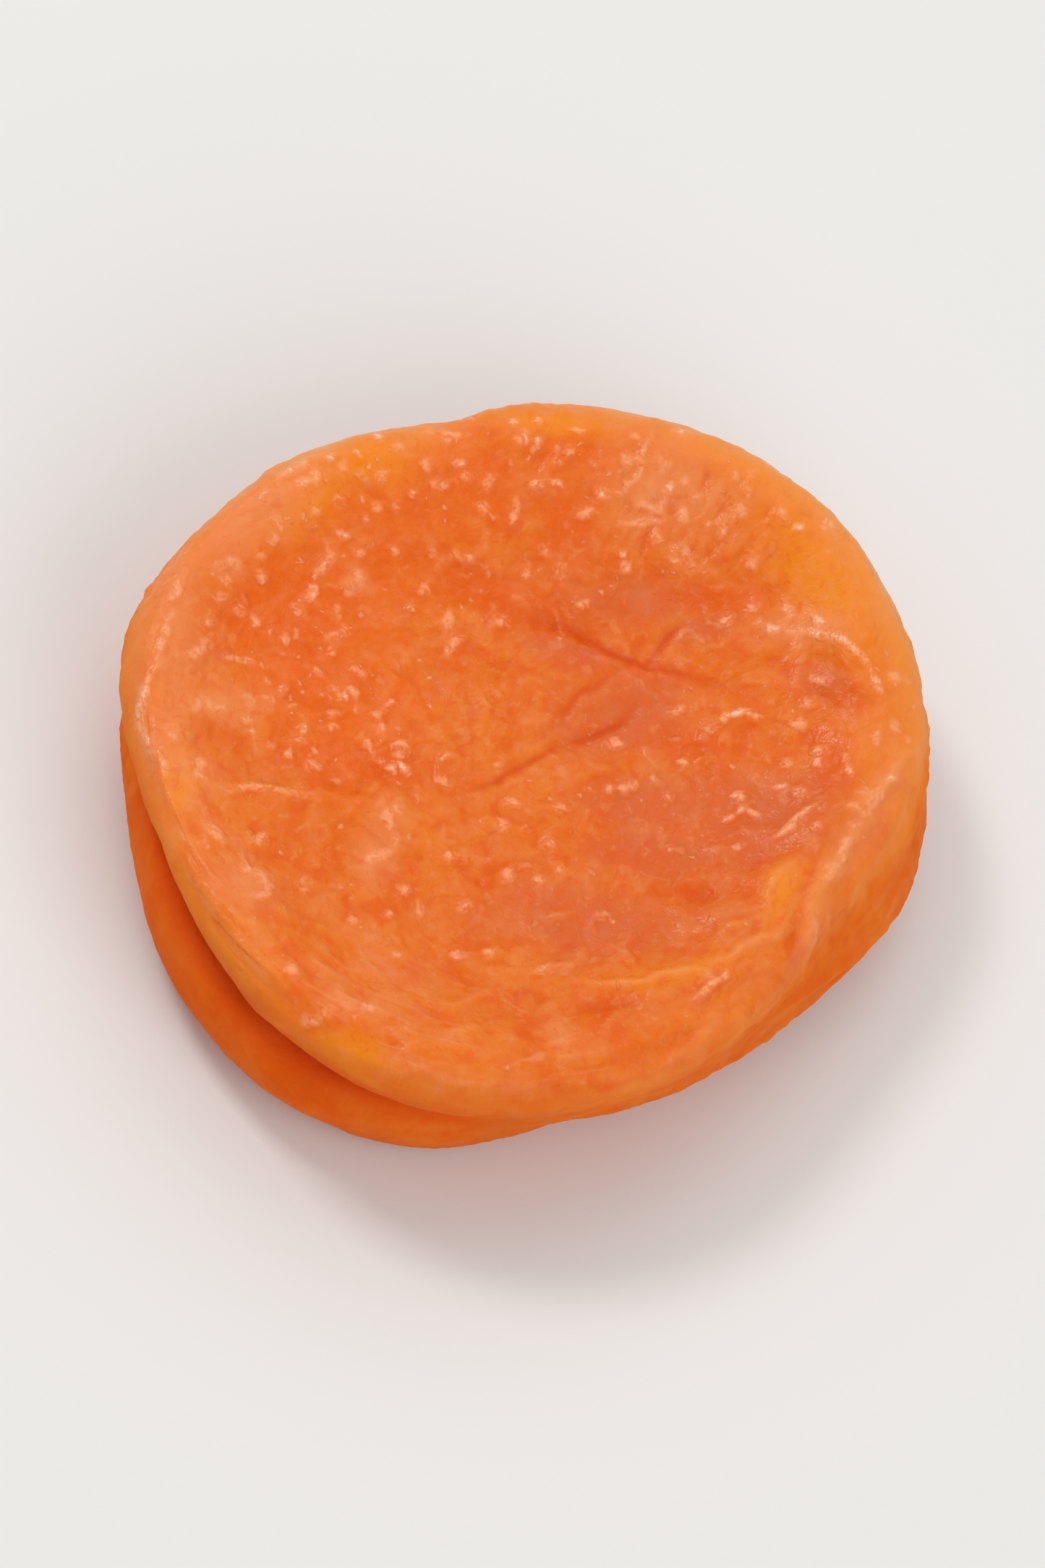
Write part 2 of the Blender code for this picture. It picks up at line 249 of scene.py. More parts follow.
CREASES = (
    Marks(-0.2, 0.25, 1.0, (
        (0.2, 7.75, 1.6, 7.65, 2.6, 7.3, 4.2, 6.5, 6.0, 6.0, 9.8, 5.1),
    )),
    Marks(-0.11, 0.48, 0.55, (
        (-1.8, 8.9, -0.9, 8.1, 0.2, 7.75, 1.6, 7.65, 2.6, 7.3), (7.2, -7.1, 8.5, -7.3, 10.0, -7.0),
        (10.8, -5.5, 11.8, -5.2, 12.8, -4.8), (2.4, -14.6, 3.4, -14.7, 4.9, -14.0),
        (13.6, -9.2, 13.7, -10.4), (0.4, -14.1, 0.0, -14.8), (-11.4, -3.0, -10.4, -3.1, -9.6, -2.9),
        (-1.8, 5.3, -1.9, 4.7), (3.1, 15.2, 2.9, 14.7), (5.6, -19.6, 5.4, -18.9, 5.9, -18.1),
    )),
    Marks(-0.17, 0.26, 1.0, (
        (6.0, 6.0, 6.6, 6.8, 7.2, 7.7, 7.9, 8.4), (5.4, 3.4, 4.4, 2.3, 3.0, 1.5, 2.0, 1.0),
    )),
    Marks(-0.12, 0.27, 0.75, (
        (4.9, 6.1, 3.5, 4.6, 2.5, 4.0, 1.5, 2.4), (2.4, 1.2, 1.0, 0.5, -0.5, -0.5, -2.5, -2.0, -3.6, -2.4),
    )),
    Marks(-0.08, 0.28, 0.5, (
        (15.2, -3.6, 14.4, -5.8, 13.7, -8.6), (14.3, 6.0, 14.9, 4.9, 15.4, 4.1, 16.0, 3.5),
        (-2.6, -10.2, -3.3, -10.6, -3.9, -11.2), (2.4, -10.6, 1.6, -11.2, 1.0, -11.8),
        (-6.2, -8.0, -6.1, -8.4), (-4.4, -17.9, -4.2, -18.0), (-10.2, 1.9, -11.0, 0.9, -11.4, 0.1),
        (-12.6, 5.6, -11.6, 5.0, -11.5, 4.4), (-7.6, 4.5, -6.2, 3.6, -5.6, 2.2),
        (-3.6, 3.6, -3.2, 2.3, -3.3, 1.3),
    )),
)

RIDGES = (
    Marks(0.2, 0.3, 1.0, (
        (2.7, -13.2, 4.0, -13.45, 5.5, -13.1, 6.5, -12.7, 7.7, -12.4, 9.0, -12.3),
        (13.1, -9.2, 12.4, -9.8, 11.2, -10.3, 10.5, -10.8, 9.9, -11.4, 9.0, -11.7),
        (20.0, 2.0, 19.3, 1.2, 18.6, 0.2, 18.0, -0.8, 17.2, -1.5, 16.4, -2.2),
        (17.5, -2.0, 17.0, -3.0, 16.4, -3.8, 15.9, -4.8, 15.5, -5.7, 15.1, -6.4, 14.6, -7.0),
        (14.6, -7.0, 14.3, -8.0, 14.3, -9.0, 14.5, -10.0, 14.2, -11.0, 13.4, -11.9, 12.4, -12.8),
        (9.6, -14.2, 9.0, -15.3, 8.4, -16.4, 7.4, -17.2, 6.4, -18.1, 5.4, -18.6, 4.0, -18.7),
        (-13.5, 13.9, -12.5, 14.7, -10.5, 15.6),
    )),
    Marks(0.13, 0.28, 0.6, (
        (13.6, -5.1, 12.9, -5.8, 12.4, -6.4, 12.1, -7.3, 11.9, -8.2), (11.6, -8.8, 10.3, -9.3, 9.8, -9.6),
        (9.8, -12.3, 9.0, -13.3, 8.0, -14.2), (-5.9, -15.5, -4.2, -15.5, -3.2, -14.8, -2.2, -14.2),
        (-16.3, -11.3, -15.6, -12.0, -14.5, -12.5), (-13.7, -10.8, -13.0, -11.4),
        (-4.8, -17.4, -3.2, -16.9), (0.9, -9.3, 2.0, -9.0), (1.2, -14.5, 0.1, -15.4),
        (4.5, -14.7, 3.8, -15.6, 3.5, -16.4), (0.9, -12.4, 2.1, -12.0, 2.6, -11.2),
        (-2.9, 13.0, -2.6, 11.9, -2.9, 11.1, -4.6, 10.6), (16.9, -6.0, 16.9, -7.1),
        (16.4, -7.9, 16.2, -8.9), (8.0, 18.4, 9.5, 18.6, 10.2, 18.4),
    )),
)

# Where the skin is raised and wet, with a painted highlight on it
GLINTS = (
    Marks(0.09, 0.29, 1.0, (
        (-11.7, 7.7, -11.6, 8.1, -11.4, 8.6), (-10.6, 2.7, -10.4, 3.1), (-9.95, 2.4),
        (-9.65, 2.85, -9.35, 2.75, -9.1, 2.45), (-8.05, -1.4, -7.85, -1.0), (-7.4, -1.7),
        (-7.2, -1.2, -6.8, -1.35, -6.4, -1.75), (-12.2, 0.1, -11.85, 0.15), (-9.75, 8.6),
        (-10.0, 11.2, -9.95, 11.5), (-10.7, 11.7, -10.3, 11.4),
        (-13.6, 13.9, -12.9, 14.3, -12.4, 14.7, -12.0, 14.9), (-11.2, 15.0, -10.6, 15.3), (-12.3, 13.7),
        (-11.8, 14.4, -11.65, 13.8), (-8.4, 14.4, -8.0, 14.8), (-9.6, 15.9, -9.4, 15.6),
        (-8.5, 17.2, -8.4, 16.6), (-4.75, 17.2, -4.8, 16.9), (-4.5, 15.8, -4.1, 15.8, -3.8, 15.9),
        (-6.6, 14.0, -6.4, 14.0), (-3.5, 19.0, -2.8, 19.3), (-1.5, 18.2, -1.2, 18.6), (-2.8, 13.6),
        (-1.2, 17.4, -0.8, 17.4, -0.8, 18.0), (-0.2, 17.5, 0.1, 17.5), (-0.3, 15.1, 0.2, 15.1),
        (0.1, 15.4, 0.2, 14.8), (0.6, 15.3, 1.3, 15.2), (3.4, 15.1), (6.9, 15.8, 6.7, 15.2),
        (7.0, 18.7, 7.5, 18.6, 7.9, 18.4), (10.5, 18.3, 11.1, 18.35), (11.6, 17.7, 11.8, 17.3, 12.1, 16.9),
        (10.5, 14.5), (9.8, 13.8, 9.6, 13.1), (4.6, 12.1, 4.8, 11.9), (4.9, 11.3), (13.7, 13.7),
        (15.1, 14.1), (12.0, 8.45, 12.9, 8.15), (15.8, 7.75), (17.8, 2.25),
        (12.9, 8.2, 14.0, 8.15, 15.0, 7.95, 15.8, 7.75, 16.6, 7.1, 17.2, 6.4, 17.6, 5.6),
        (17.6, 5.6, 17.85, 5.2, 18.1, 4.7), (14.5, 9.1, 14.9, 8.8, 15.2, 8.5),
        (9.7, 2.85, 10.3, 3.3, 11.0, 3.65, 11.6, 3.5), (19.4, 2.4, 19.6, 2.55), (14.8, 1.5), (10.8, -1.3),
        (16.3, 0.4, 16.6, -0.1), (18.5, 0.2, 18.4, -0.2), (9.7, -12.6, 9.9, -12.3),
        (-12.4, -17.0, -11.7, -17.25, -11.2, -17.0), (-15.3, -8.8, -15.0, -8.9),
        (-18.7, 7.4, -19.0, 6.6, -19.3, 6.2), (-19.0, -1.4, -19.0, -1.8),
        (-20.1, 2.2, -20.5, 1.0, -20.8, 0.0, -20.9, -0.7, -20.7, -1.6, -20.4, -2.6),
    )),
    Marks(0.07, 0.29, 0.7, (
        (-6.2, 17.5, -5.4, 17.6, -4.6, 17.4, -4.0, 17.4, -3.5, 17.6), (-3.5, 19.0, -3.6, 18.5),
        (0.0, 18.8, -0.1, 18.3), (0.7, 16.4, 1.3, 16.4), (1.4, 18.3, 2.0, 18.2, 2.5, 18.3),
        (3.9, 14.9, 4.4, 15.1, 4.9, 15.8, 5.2, 16.5, 5.5, 17.5, 5.9, 18.4), (4.6, 17.3, 4.55, 16.3),
        (6.9, 17.0, 6.5, 16.7, 6.3, 16.2), (5.1, 14.6, 5.7, 14.6, 6.2, 14.4, 6.7, 14.2),
        (4.7, 13.6, 5.3, 13.6, 6.0, 13.8, 6.7, 14.0), (6.7, 15.2, 6.5, 14.6, 6.7, 14.1),
        (9.8, 14.0, 10.3, 14.3), (15.0, -1.4, 14.2, -2.1, 13.4, -3.0, 12.7, -3.6, 12.4, -3.9),
        (9.1, 2.3, 9.7, 2.85), (11.6, 3.5, 12.0, 3.2), (14.8, 0.75), (19.5, 5.9),
        (10.8, -1.4, 11.1, -1.8, 10.7, -2.2, 10.2, -2.6, 9.8, -2.8), (11.1, -1.9, 11.7, -2.4),
        (16.1, 1.2, 16.2, 0.6), (16.9, -1.1, 17.6, -0.9), (16.6, -3.0), (14.5, -3.2),
        (8.2, -13.9, 8.8, -13.5, 9.2, -13.1, 9.7, -12.6), (-11.2, -17.0, -10.8, -16.9),
        (-19.0, 5.6, -19.4, 4.6, -19.8, 3.6, -20.1, 2.2), (-19.4, -1.1, -18.6, -1.1),
        (-16.4, 3.6, -15.0, 3.65, -13.6, 3.55), (-11.4, 4.1, -11.3, 3.7, -11.0, 3.4),
        (-8.8, 0.2, -8.7, -0.4, -8.4, -0.9), (-7.5, -0.4, -7.0, -0.1, -6.4, -0.2), (-7.2, -0.7, -6.5, -0.6),
        (-9.8, 3.6, -9.2, 4.0, -8.6, 3.4), (-10.5, 1.3), (-8.2, 1.5), (-8.1, 0.7, -7.8, 0.9),
        (-10.8, 0.4, -10.2, 0.4), (-12.2, -0.6), (-7.7, 2.4, -7.2, 2.2), (-7.7, 1.9),
        (-12.8, 7.1, -12.4, 7.4), (-10.1, 7.7, -10.4, 7.0), (-9.8, 6.3), (-10.3, 5.95), (-10.8, 5.6),
        (-10.4, 5.2, -10.6, 4.8), (-13.4, 4.4, -12.8, 4.65), (-14.9, 6.4, -14.6, 5.8, -14.5, 5.5),
        (-13.1, 5.3), (-13.8, 3.0, -13.7, 2.3), (-12.9, 2.5, -13.2, 1.9), (-13.8, 1.6), (-15.1, 0.1),
        (-15.0, -0.4, -14.7, -0.8), (-13.8, -1.1), (-12.8, -1.5), (-15.5, 6.4), (-7.3, 11.0, -7.3, 10.6),
        (-7.4, 13.3, -7.5, 12.9), (-8.4, 13.0), (-9.2, 14.5), (-11.7, 12.4), (-5.3, 14.8, -5.4, 14.3),
        (-4.9, 14.6), (-3.8, 15.1), (-5.9, 15.5), (-7.4, 16.2), (-9.0, 12.2), (-9.2, 10.5), (-10.4, 13.1),
        (-13.7, 11.6), (-2.3, 15.4, -2.6, 15.0, -2.8, 14.2), (-6.3, 8.1, -6.7, 7.5), (-1.7, -0.6),
        (2.3, 8.7, 2.7, 9.0, 3.1, 9.3), (4.0, -1.0, 4.1, -1.6), (4.7, -1.0, 4.9, -1.6),
        (6.2, -0.3, 6.6, -0.8), (7.1, -1.6), (7.9, 0.4), (13.3, 0.7), (7.1, -4.7), (11.0, -4.1, 10.3, -4.5),
        (5.3, -1.1), (-1.3, 13.2, -0.8, 13.3), (-1.2, 12.6, -1.0, 14.5),
    )),
    Marks(0.07, 0.38, 0.7, (
        (18.3, -0.6, 17.6, -1.5, 16.9, -2.6), (16.5, -3.4, 16.0, -4.4, 15.6, -5.3),
        (14.6, -8.4, 14.8, -9.5, 14.6, -10.4), (14.2, -11.1, 13.5, -11.9),
        (-16.9, 8.3, -16.5, 8.9, -15.9, 9.1, -15.7, 8.7), (-16.1, 8.2, -16.4, 7.6),
        (-16.5, 7.3, -16.7, 6.6), (-16.8, 5.9, -17.3, 5.4, -17.5, 5.1), (-11.5, -1.95),
        (-18.7, 2.9, -18.0, 3.4, -17.3, 4.0, -16.9, 4.7), (-15.3, 1.9, -14.9, 1.4, -14.9, 0.8),
        (-18.2, 0.2, -17.5, 0.6, -16.6, 0.5, -16.0, 1.0), (-14.4, 9.8, -14.5, 9.4),
        (-14.4, 8.8, -14.3, 8.1), (-11.6, 9.2, -11.1, 9.5, -10.7, 10.0, -10.7, 10.5, -11.0, 10.8),
        (-9.6, 9.5, -9.2, 9.2, -9.1, 8.7), (-5.7, 9.2, -5.7, 8.6), (-1.6, 7.7),
        (-4.2, 7.9, -4.5, 7.2, -4.45, 6.6), (-3.6, 6.6, -4.1, 6.1, -4.5, 5.3), (-3.6, 11.0, -3.3, 11.0),
        (-2.5, 10.3, -2.2, 10.3), (-5.6, 11.0, -5.2, 10.9), (-0.5, 10.4, -0.1, 10.4),
        (0.3, 11.8, 0.6, 11.6), (1.4, 10.8), (-4.6, -2.0), (-4.7, -0.4, -4.5, -0.8),
        (-1.6, -2.7, -1.0, -2.8, -0.8, -3.1), (1.1, -2.7, 1.8, -2.8), (-1.65, -4.2),
        (-0.7, -4.1, -0.4, -4.3), (0.8, -4.9), (1.3, -6.3, 1.7, -6.6), (0.1, -7.3, 0.5, -6.9),
        (-1.1, -6.6, -1.3, -7.4), (-4.3, -6.3), (3.2, -8.9, 3.9, -8.9), (-3.6, -9.2),
        (-7.0, -3.4, -7.2, -4.0, -7.7, -4.5, -7.5, -5.0, -7.2, -5.6, -7.3, -6.2),
        (-7.3, -6.2, -7.9, -6.8, -8.5, -7.2, -8.7, -7.9), (-7.0, -9.1, -6.6, -8.6),
        (-6.1, -9.2, -6.0, -9.8, -6.3, -10.1), (-7.7, -10.5, -7.3, -10.4), (-4.1, -12.1),
        (-2.2, -11.6, -2.6, -12.2), (-7.0, -12.4, -7.3, -12.9), (0.0, -12.9, 0.9, -12.4),
        (-9.5, -10.5, -9.6, -11.2), (-11.9, -8.8, -12.0, -9.7), (-17.4, -7.7),
        (-15.3, -8.8, -14.8, -9.0, -14.2, -9.5, -14.0, -10.0, -14.5, -10.4, -15.2, -10.7),
        (-14.0, -6.6, -14.4, -6.9, -15.1, -7.2), (-17.4, -6.5, -16.7, -7.0, -16.4, -7.3), (-12.8, -14.7),
        (-15.5, -14.3, -15.5, -14.7), (-9.3, -16.4, -8.3, -16.4),
        (-16.5, -4.2, -15.0, -3.9, -13.6, -3.8, -12.0, -4.0), (-17.8, -2.6, -17.0, -2.9),
        (-17.8, -3.2, -17.2, -4.0), (-19.6, -2.9, -19.5, -3.9), (12.8, -0.4, 13.0, -0.8), (13.7, -1.0),
        (7.2, 3.2, 7.8, 3.7), (9.7, 8.4, 10.4, 9.0), (11.2, 9.4, 11.6, 9.6), (8.5, 7.5, 9.1, 7.7),
        (13.3, 10.0, 13.3, 9.0), (13.7, 7.9, 13.7, 7.2), (14.2, 5.8, 14.9, 5.5, 15.2, 5.2), (14.3, 4.3),
        (13.8, 3.0), (18.8, 3.0), (18.8, 5.9), (12.5, 14.5, 13.0, 14.3), (10.2, 16.6, 10.3, 16.1),
        (11.1, 16.7, 11.1, 16.3), (11.0, 15.8, 10.9, 15.1), (8.2, 15.3, 8.4, 15.0), (7.7, 16.2, 7.6, 15.7),
        (7.6, 14.8, 7.7, 13.7), (8.9, 14.0, 9.2, 13.7), (6.4, 13.0), (7.4, 12.0, 7.3, 11.5),
        (7.6, 12.1, 8.2, 12.3), (8.2, 11.4, 8.4, 11.9), (11.2, 11.6, 11.4, 12.2),
        (2.0, 13.7, 2.6, 13.9, 3.3, 14.0), (4.7, 18.2, 5.1, 17.8), (1.3, 17.0, 1.9, 17.0),
        (-14.3, 13.2, -14.3, 12.3), (-13.9, 11.0, -13.9, 10.3), (5.2, -14.3, 5.3, -14.9),
        (4.0, 1.3, 5.0, 1.3), (16.0, -5.2, 15.4, -5.8, 15.0, -6.5), (16.3, -2.3, 17.0, -1.9),
    )),
)

STEPS = (
    Step(0.28, 0.6, 2.4, (-7.9, -3.5, -10.5, -3.0, -13.0, -3.5, -16.8, -3.0)),
    Step(0.35, 0.6, 2.0, (13.0, -12.0, 9.5, -15.6, 6.0, -18.2)),
)

UNDER_TROUGHS = (
    Marks(-0.33, 0.9, 1.0, (
        (-12.0, 4.0, -5.0, 2.5, 0.5, 0.5, 7.5, 1.5), (0.5, 0.5, 3.0, -5.0, 2.0, -11.0),
        (-5.0, 2.5, -7.5, -4.0, -12.0, -8.0), (2.0, 12.5, 4.5, 7.0, 7.5, 1.5),
    )),
    Marks(0.22, 0.32, 1.0, (
        (-9.0, 8.0, -6.5, 9.5, -3.0, 9.2), (9.0, -3.0, 11.5, -5.5, 12.0, -8.5),
        (-3.0, -6.5, -4.0, -9.5, -2.5, -12.5), (9.5, 5.0, 11.5, 6.8, 12.0, 9.0),
    )),
)
UNDER_CREASES = (
    Marks(-0.25, 0.3, 1.0, (
        (-12.0, 4.0, -8.0, 3.5, -5.0, 2.5, -2.0, 1.9, 0.5, 0.5, 4.0, 0.3, 7.5, 1.5),
        (0.5, 0.5, 2.2, -2.0, 3.0, -5.0, 2.2, -8.0, 2.0, -11.0),
        (-5.0, 2.5, -6.0, -0.8, -7.5, -4.0, -9.8, -6.2, -12.0, -8.0),
        (2.0, 12.5, 2.9, 9.6, 4.5, 7.0, 5.9, 4.0, 7.5, 1.5),
    )),
)

# Where the face is grained, deeper in colour (partly painted shade along creases), clear, paler with
# painted sheen, or rosy with painted sheen. Each oval gives x and y of its middle, its two radii and
# its turn.
GRAIN_PATCHES = (
    (-10.3, 6.5, 4.8, 8.5, 0.0), (-5.5, 14.0, 6.0, 3.0, 0.35), (1.5, 16.2, 3.0, 2.0, 0.0),
)
# Deeper flesh; along creases and folds this is partly painted shade
DEEP_AND_SHADED_PATCHES = (
    (-9.0, -1.6, 5.0, 1.3, 0.0), (-12.6, 6.0, 2.4, 3.2, 0.0), (-2.0, 9.4, 6.0, 1.2, -0.3),
    (6.0, 6.0, 6.0, 0.8, -0.25), (1.7, 13.0, 1.4, 2.0, 0.0), (9.5, 10.0, 3.2, 0.8, 0.0),
    (8.5, 1.6, 4.5, 1.0, 0.0), (4.8, -5.0, 2.2, 0.8, 0.0), (11.9, -5.1, 1.7, 0.7, 0.2),
    (8.4, -7.1, 2.2, 0.6, 0.1), (3.2, -14.5, 1.8, 0.7, 0.3), (13.7, -9.9, 0.5, 1.3, 0.0),
    (15.4, 0.2, 1.1, 2.2, 0.0), (16.4, 4.4, 0.8, 1.2, 0.4), (-6.5, 11.0, 2.2, 0.9, 0.0),
)
AMBER_PATCHES = (
    (9.8, 17.6, 3.2, 1.3, -0.45), (-8.6, 15.8, 3.2, 1.6, 0.45), (1.0, 18.6, 2.6, 0.7, 0.0),
    (-12.3, 13.3, 2.8, 1.6, 0.8), (-9.5, -18.7, 1.6, 0.6, -0.3), (-18.8, -4.0, 0.9, 2.4, 0.0),
    (12.8, -7.0, 0.8, 2.0, -0.2), (15.3, 11.0, 4.6, 2.0, -0.94),
)
AMBER_LINES = (
    Marks(0.0, 1.0, 0.9, (
        (10.5, 18.0, 13.5, 16.0, 16.5, 13.0, 18.8, 9.5, 19.8, 6.0, 20.0, 3.0),
    )),
    Marks(0.0, 0.35, 0.7, (
        (-19.6, -5.5, -18.0, -10.3, -16.5, -13.2, -15.0, -15.8, -12.1, -18.2, -9.0, -19.5),
    )),
    Marks(0.0, 0.75, 0.7, (
        (17.8, -0.6, 16.6, -3.0, 15.0, -6.2, 14.4, -8.5), (2.8, -13.3, 5.5, -13.1, 8.5, -12.2, 10.5, -10.9),
    )),
)
# Patches of painted sheen, where the face is paler and pinker
PAINTED_SHEEN_PATCHES = (
    (6.9, 15.6, 3.0, 2.5, 0.0), (-19.0, 4.0, 1.6, 6.5, 0.0), (-15.4, 11.4, 4.6, 1.3, 0.8),
    (-17.0, 0.6, 2.4, 0.9, 0.1), (-16.3, 8.7, 0.9, 0.9, 0.0), (17.0, -3.0, 3.8, 0.8, 1.06),
    (14.3, -9.6, 2.4, 0.5, 1.5), (-20.3, -2.4, 0.6, 1.0, 0.0), (-15.2, -9.8, 1.6, 1.4, 0.0),
    (-8.0, -6.0, 0.9, 2.6, -0.25), (1.1, -16.8, 0.6, 1.1, 0.0), (-9.0, -16.4, 1.5, 0.6, 0.0),
    (13.5, 8.4, 2.0, 0.8, 0.0), (-9.3, 9.1, 0.5, 0.8, 0.0),
)
# Patches of painted rosy sheen, where the face is flat
ROSY_SHEEN_PATCHES = (
    (11.8, -2.2, 4.6, 2.4, -0.1), (4.8, 3.2, 3.4, 2.2, 0.6), (4.8, 9.4, 3.4, 1.6, 0.2),
    (2.0, 6.2, 2.4, 0.9, -0.1), (3.5, -9.2, 5.5, 2.2, 0.1), (15.2, 5.3, 1.4, 0.8, -0.3),
    (8.6, 8.1, 1.6, 0.7, 0.3), (6.0, -2.2, 3.6, 1.6, 0.0), (6.6, -5.2, 3.6, 1.8, 0.0),
)

# Where the fine wrinkles run inwards
LADDER_PATCHES = (
    (7.5, 15.0, 5.5, 4.0, -0.3),
)

# The patches of each mask on the face, with how soft their edges are
FACE_PATCHES = {
    "grain": (GRAIN_PATCHES, 0.35),
    "deep": (DEEP_AND_SHADED_PATCHES, 0.6),
    "bloom": (ROSY_SHEEN_PATCHES, 0.7),
    "haze": (PAINTED_SHEEN_PATCHES, 0.9),
    "ladder": (LADDER_PATCHES, 0.35),
}
AMBER_EDGE = 0.8

# The masks that are stored on the mesh for its material
ZONE_MASKS = (
    "face", "grain", "deep", "amber", "bloom", "haze", "rim", "gold", "pale", "groove", "lobe", "outer",
)
RELIEF_MASKS = ("fine", "bead", "crease", "ridge", "glint")

# Noises of the material. The scale counts the cells in a metre, or in a millimetre for the threads.
Grain = namedtuple("Grain", "scale detail roughness distortion")
WIDE_NOISE = Grain(260.0, 3.0, 0.55, 0.6)
SMALL_NOISE = Grain(650.0, 1.5, 0.5, 0.6)
TINY_NOISE = Grain(1500.0, 2.0, 0.6, 0.5)
SOFT_NOISE = Grain(1300.0, 3.0, 0.6, 0.4)
PORE_NOISE = Grain(3600.0, 2.0, 0.5, 0.0)
CHIP_NOISE = Grain(1900.0, 2.0, 0.6, 0.8)
PATCHY_NOISE = Grain(420.0, 3.0, 0.6, 0.0)
THREAD_NOISE = Grain(0.8, 1.0, 0.5, 0.12)
THREAD_PLACES = Grain(260.0, 1.0, 0.5, 0.0)
NET_NOISE = Grain(560.0, 1.0, 0.5, 0.3)
FINE_NET_NOISE = Grain(1150.0, 1.0, 0.5, 0.3)
NET_PLACES = Grain(240.0, 1.0, 0.5, 0.0)

# Threads run along the rim and stop short of its outer side. The net is two sets of lines, and fades on the
# smooth rim.
THREAD_SHARPNESS = 10.0
THREAD_FADE = 3.0
NET_SHARPNESS = 10.0
FINE_NET_SHARPNESS = 7.0
FINE_NET_SHARE = 0.6
RIM_CLEAR = 0.85

# Flecks: cells in a metre, the reach of the largest in cells, the share of cells that hold one, and what
# the grained patches add to that. They are pushed aside by a noise, and differ in size.
Flecks = namedtuple("Flecks", "scale reach share grained")
# The dots carry painted glints, and the pale flecks painted sheen
LARGE_GLINT_DOTS = Flecks(900.0, 0.42, 0.06, 0.30)
SMALL_GLINT_DOTS = Flecks(1900.0, 0.42, 0.15, 0.25)
PAINTED_SHEEN_FLECKS = Flecks(620.0, 0.5, 0.45, -0.2)
FLECK_BEND = 0.9
FLECK_BEND_SCALE = 1.2
FLECK_FADE = 0.15
FLECK_SMALLEST = 0.25
FLECK_CORE = 0.35

# How much of the glossy film lies on thin ridges and threads, on flecks, and on wet and dry places
RIDGE_GLOSS = 0.4
FLECK_GLOSS = 0.5
WET_GLOSS = 0.28
DRY_GLOSS = 0.08

# What the material draws on the skin: wet dots with painted glints, pale flecks of painted sheen, threads
# with a painted highlight, a net of lines with painted shade, and wet marks with painted highlights
Drawn = namedtuple("Drawn", "dots flecks threads net glints")

# Sockets of a mix of colours: its share, its two colours and what it puts out
COLOUR_MIX_SOCKETS = (0, 6, 7)
COLOUR_MIX_OUTPUT = 2

# The stage
PICTURE_SIZE = (1445, 2168)
SENSOR_WIDTH = 36.0
LIGHT_PLACES = {
    "key": (-0.5, 0.5, 0.85),
    "soft": (0.05, 0.65, 1.00),
    "fill": (0.45, -0.80, 0.70),
}
WHITE = (1.0, 1.0, 1.0)
FLOOR_ROUGHNESS = 0.8
FLOOR_GLOSS = 0.2


def hermite(start, end, start_slope, end_slope, share):
    """A cubic between two values with the given slopes, at a share of the way."""
    rest = 1.0 - share
    return (
        (1.0 + 2.0 * share) * rest**2 * start
        + share * rest**2 * start_slope
        + share**2 * (3.0 - 2.0 * share) * end
        - share**2 * rest * end_slope
    )


def around(values, azimuth):
    """A ring's value at each azimuth, by the sum of waves that runs through its evenly spaced values."""
    waves = np.fft.rfft(values) / len(values)
    total = np.full_like(azimuth, waves[0].real)
    for count, wave in enumerate(waves[1:], start=1):
        share = 1.0 if 2 * count == len(values) else 2.0
        total += share * (wave * np.exp(1j * count * azimuth)).real
    return total


def shares_around(values, azimuth, wobble=0.0):
    """The same for a ring of shares, made uneven by a wobble and kept between 0 and 1."""
    return np.clip(around(values, azimuth) + wobble, 0.0, 1.0)


def rounded(start, end):
    """The point on the bulge between two rings, out towards the radius of the wider one."""
    (start_radius, start_height), (end_radius, end_height) = start, end
    bulge = (ROUNDING - 0.5) * np.tanh(end_radius - start_radius)
    return (
        start_radius + (end_radius - start_radius) * (0.5 + bulge),
        start_height + (end_height - start_height) * (0.5 - bulge),
    )


def foot_heights(azimuth):
    """The rim of the underside dips at evenly spaced places and lifts between them."""
    wave = (1.0 - np.cos(FOOT_COUNT * (azimuth - FOOT_AZIMUTH))) / 2
    return FOOT_LOW + (FOOT_HIGH - FOOT_LOW) * wave


def section(azimuth):
    """Radii and heights in mm of the rings at each azimuth, from the middle of the face to that below."""
    level = np.ones_like(azimuth)
    crest = around(CREST_RADII, azimuth), around(CREST_HEIGHTS, azimuth)
    lip = around(LIP_RADII, azimuth), around(LIP_HEIGHTS, azimuth)
    belly = around(BELLY_RADII, azimuth), BELLY_HEIGHT * level
    groove = (lip[0] + belly[0]) / 2 - around(GROOVE_DEPTHS, azimuth), GROOVE_HEIGHT * level
    foot = belly[0] - FOOT_INSET, foot_heights(azimuth)
    rings = (
        (0.0 * level, FACE_CENTRE_HEIGHT * level),
        (FACE_MIDDLE_RADIUS * level, FACE_HEIGHT * level),
        (crest[0] - INNER_INSET, crest[1] - INNER_DROP),
        crest,
        rounded(crest, lip),
        lip,
        rounded(lip, groove),
        groove,
        rounded(groove, belly),
        belly,
        rounded(belly, foot),
        foot,
        (UNDER_MIDDLE_RADIUS * level, UNDER_MIDDLE_HEIGHT * level),
        (0.0 * level, UNDER_CENTRE_HEIGHT * level),
    )
    return np.array([radius for radius, _ in rings]), np.array([height for _, height in rings])


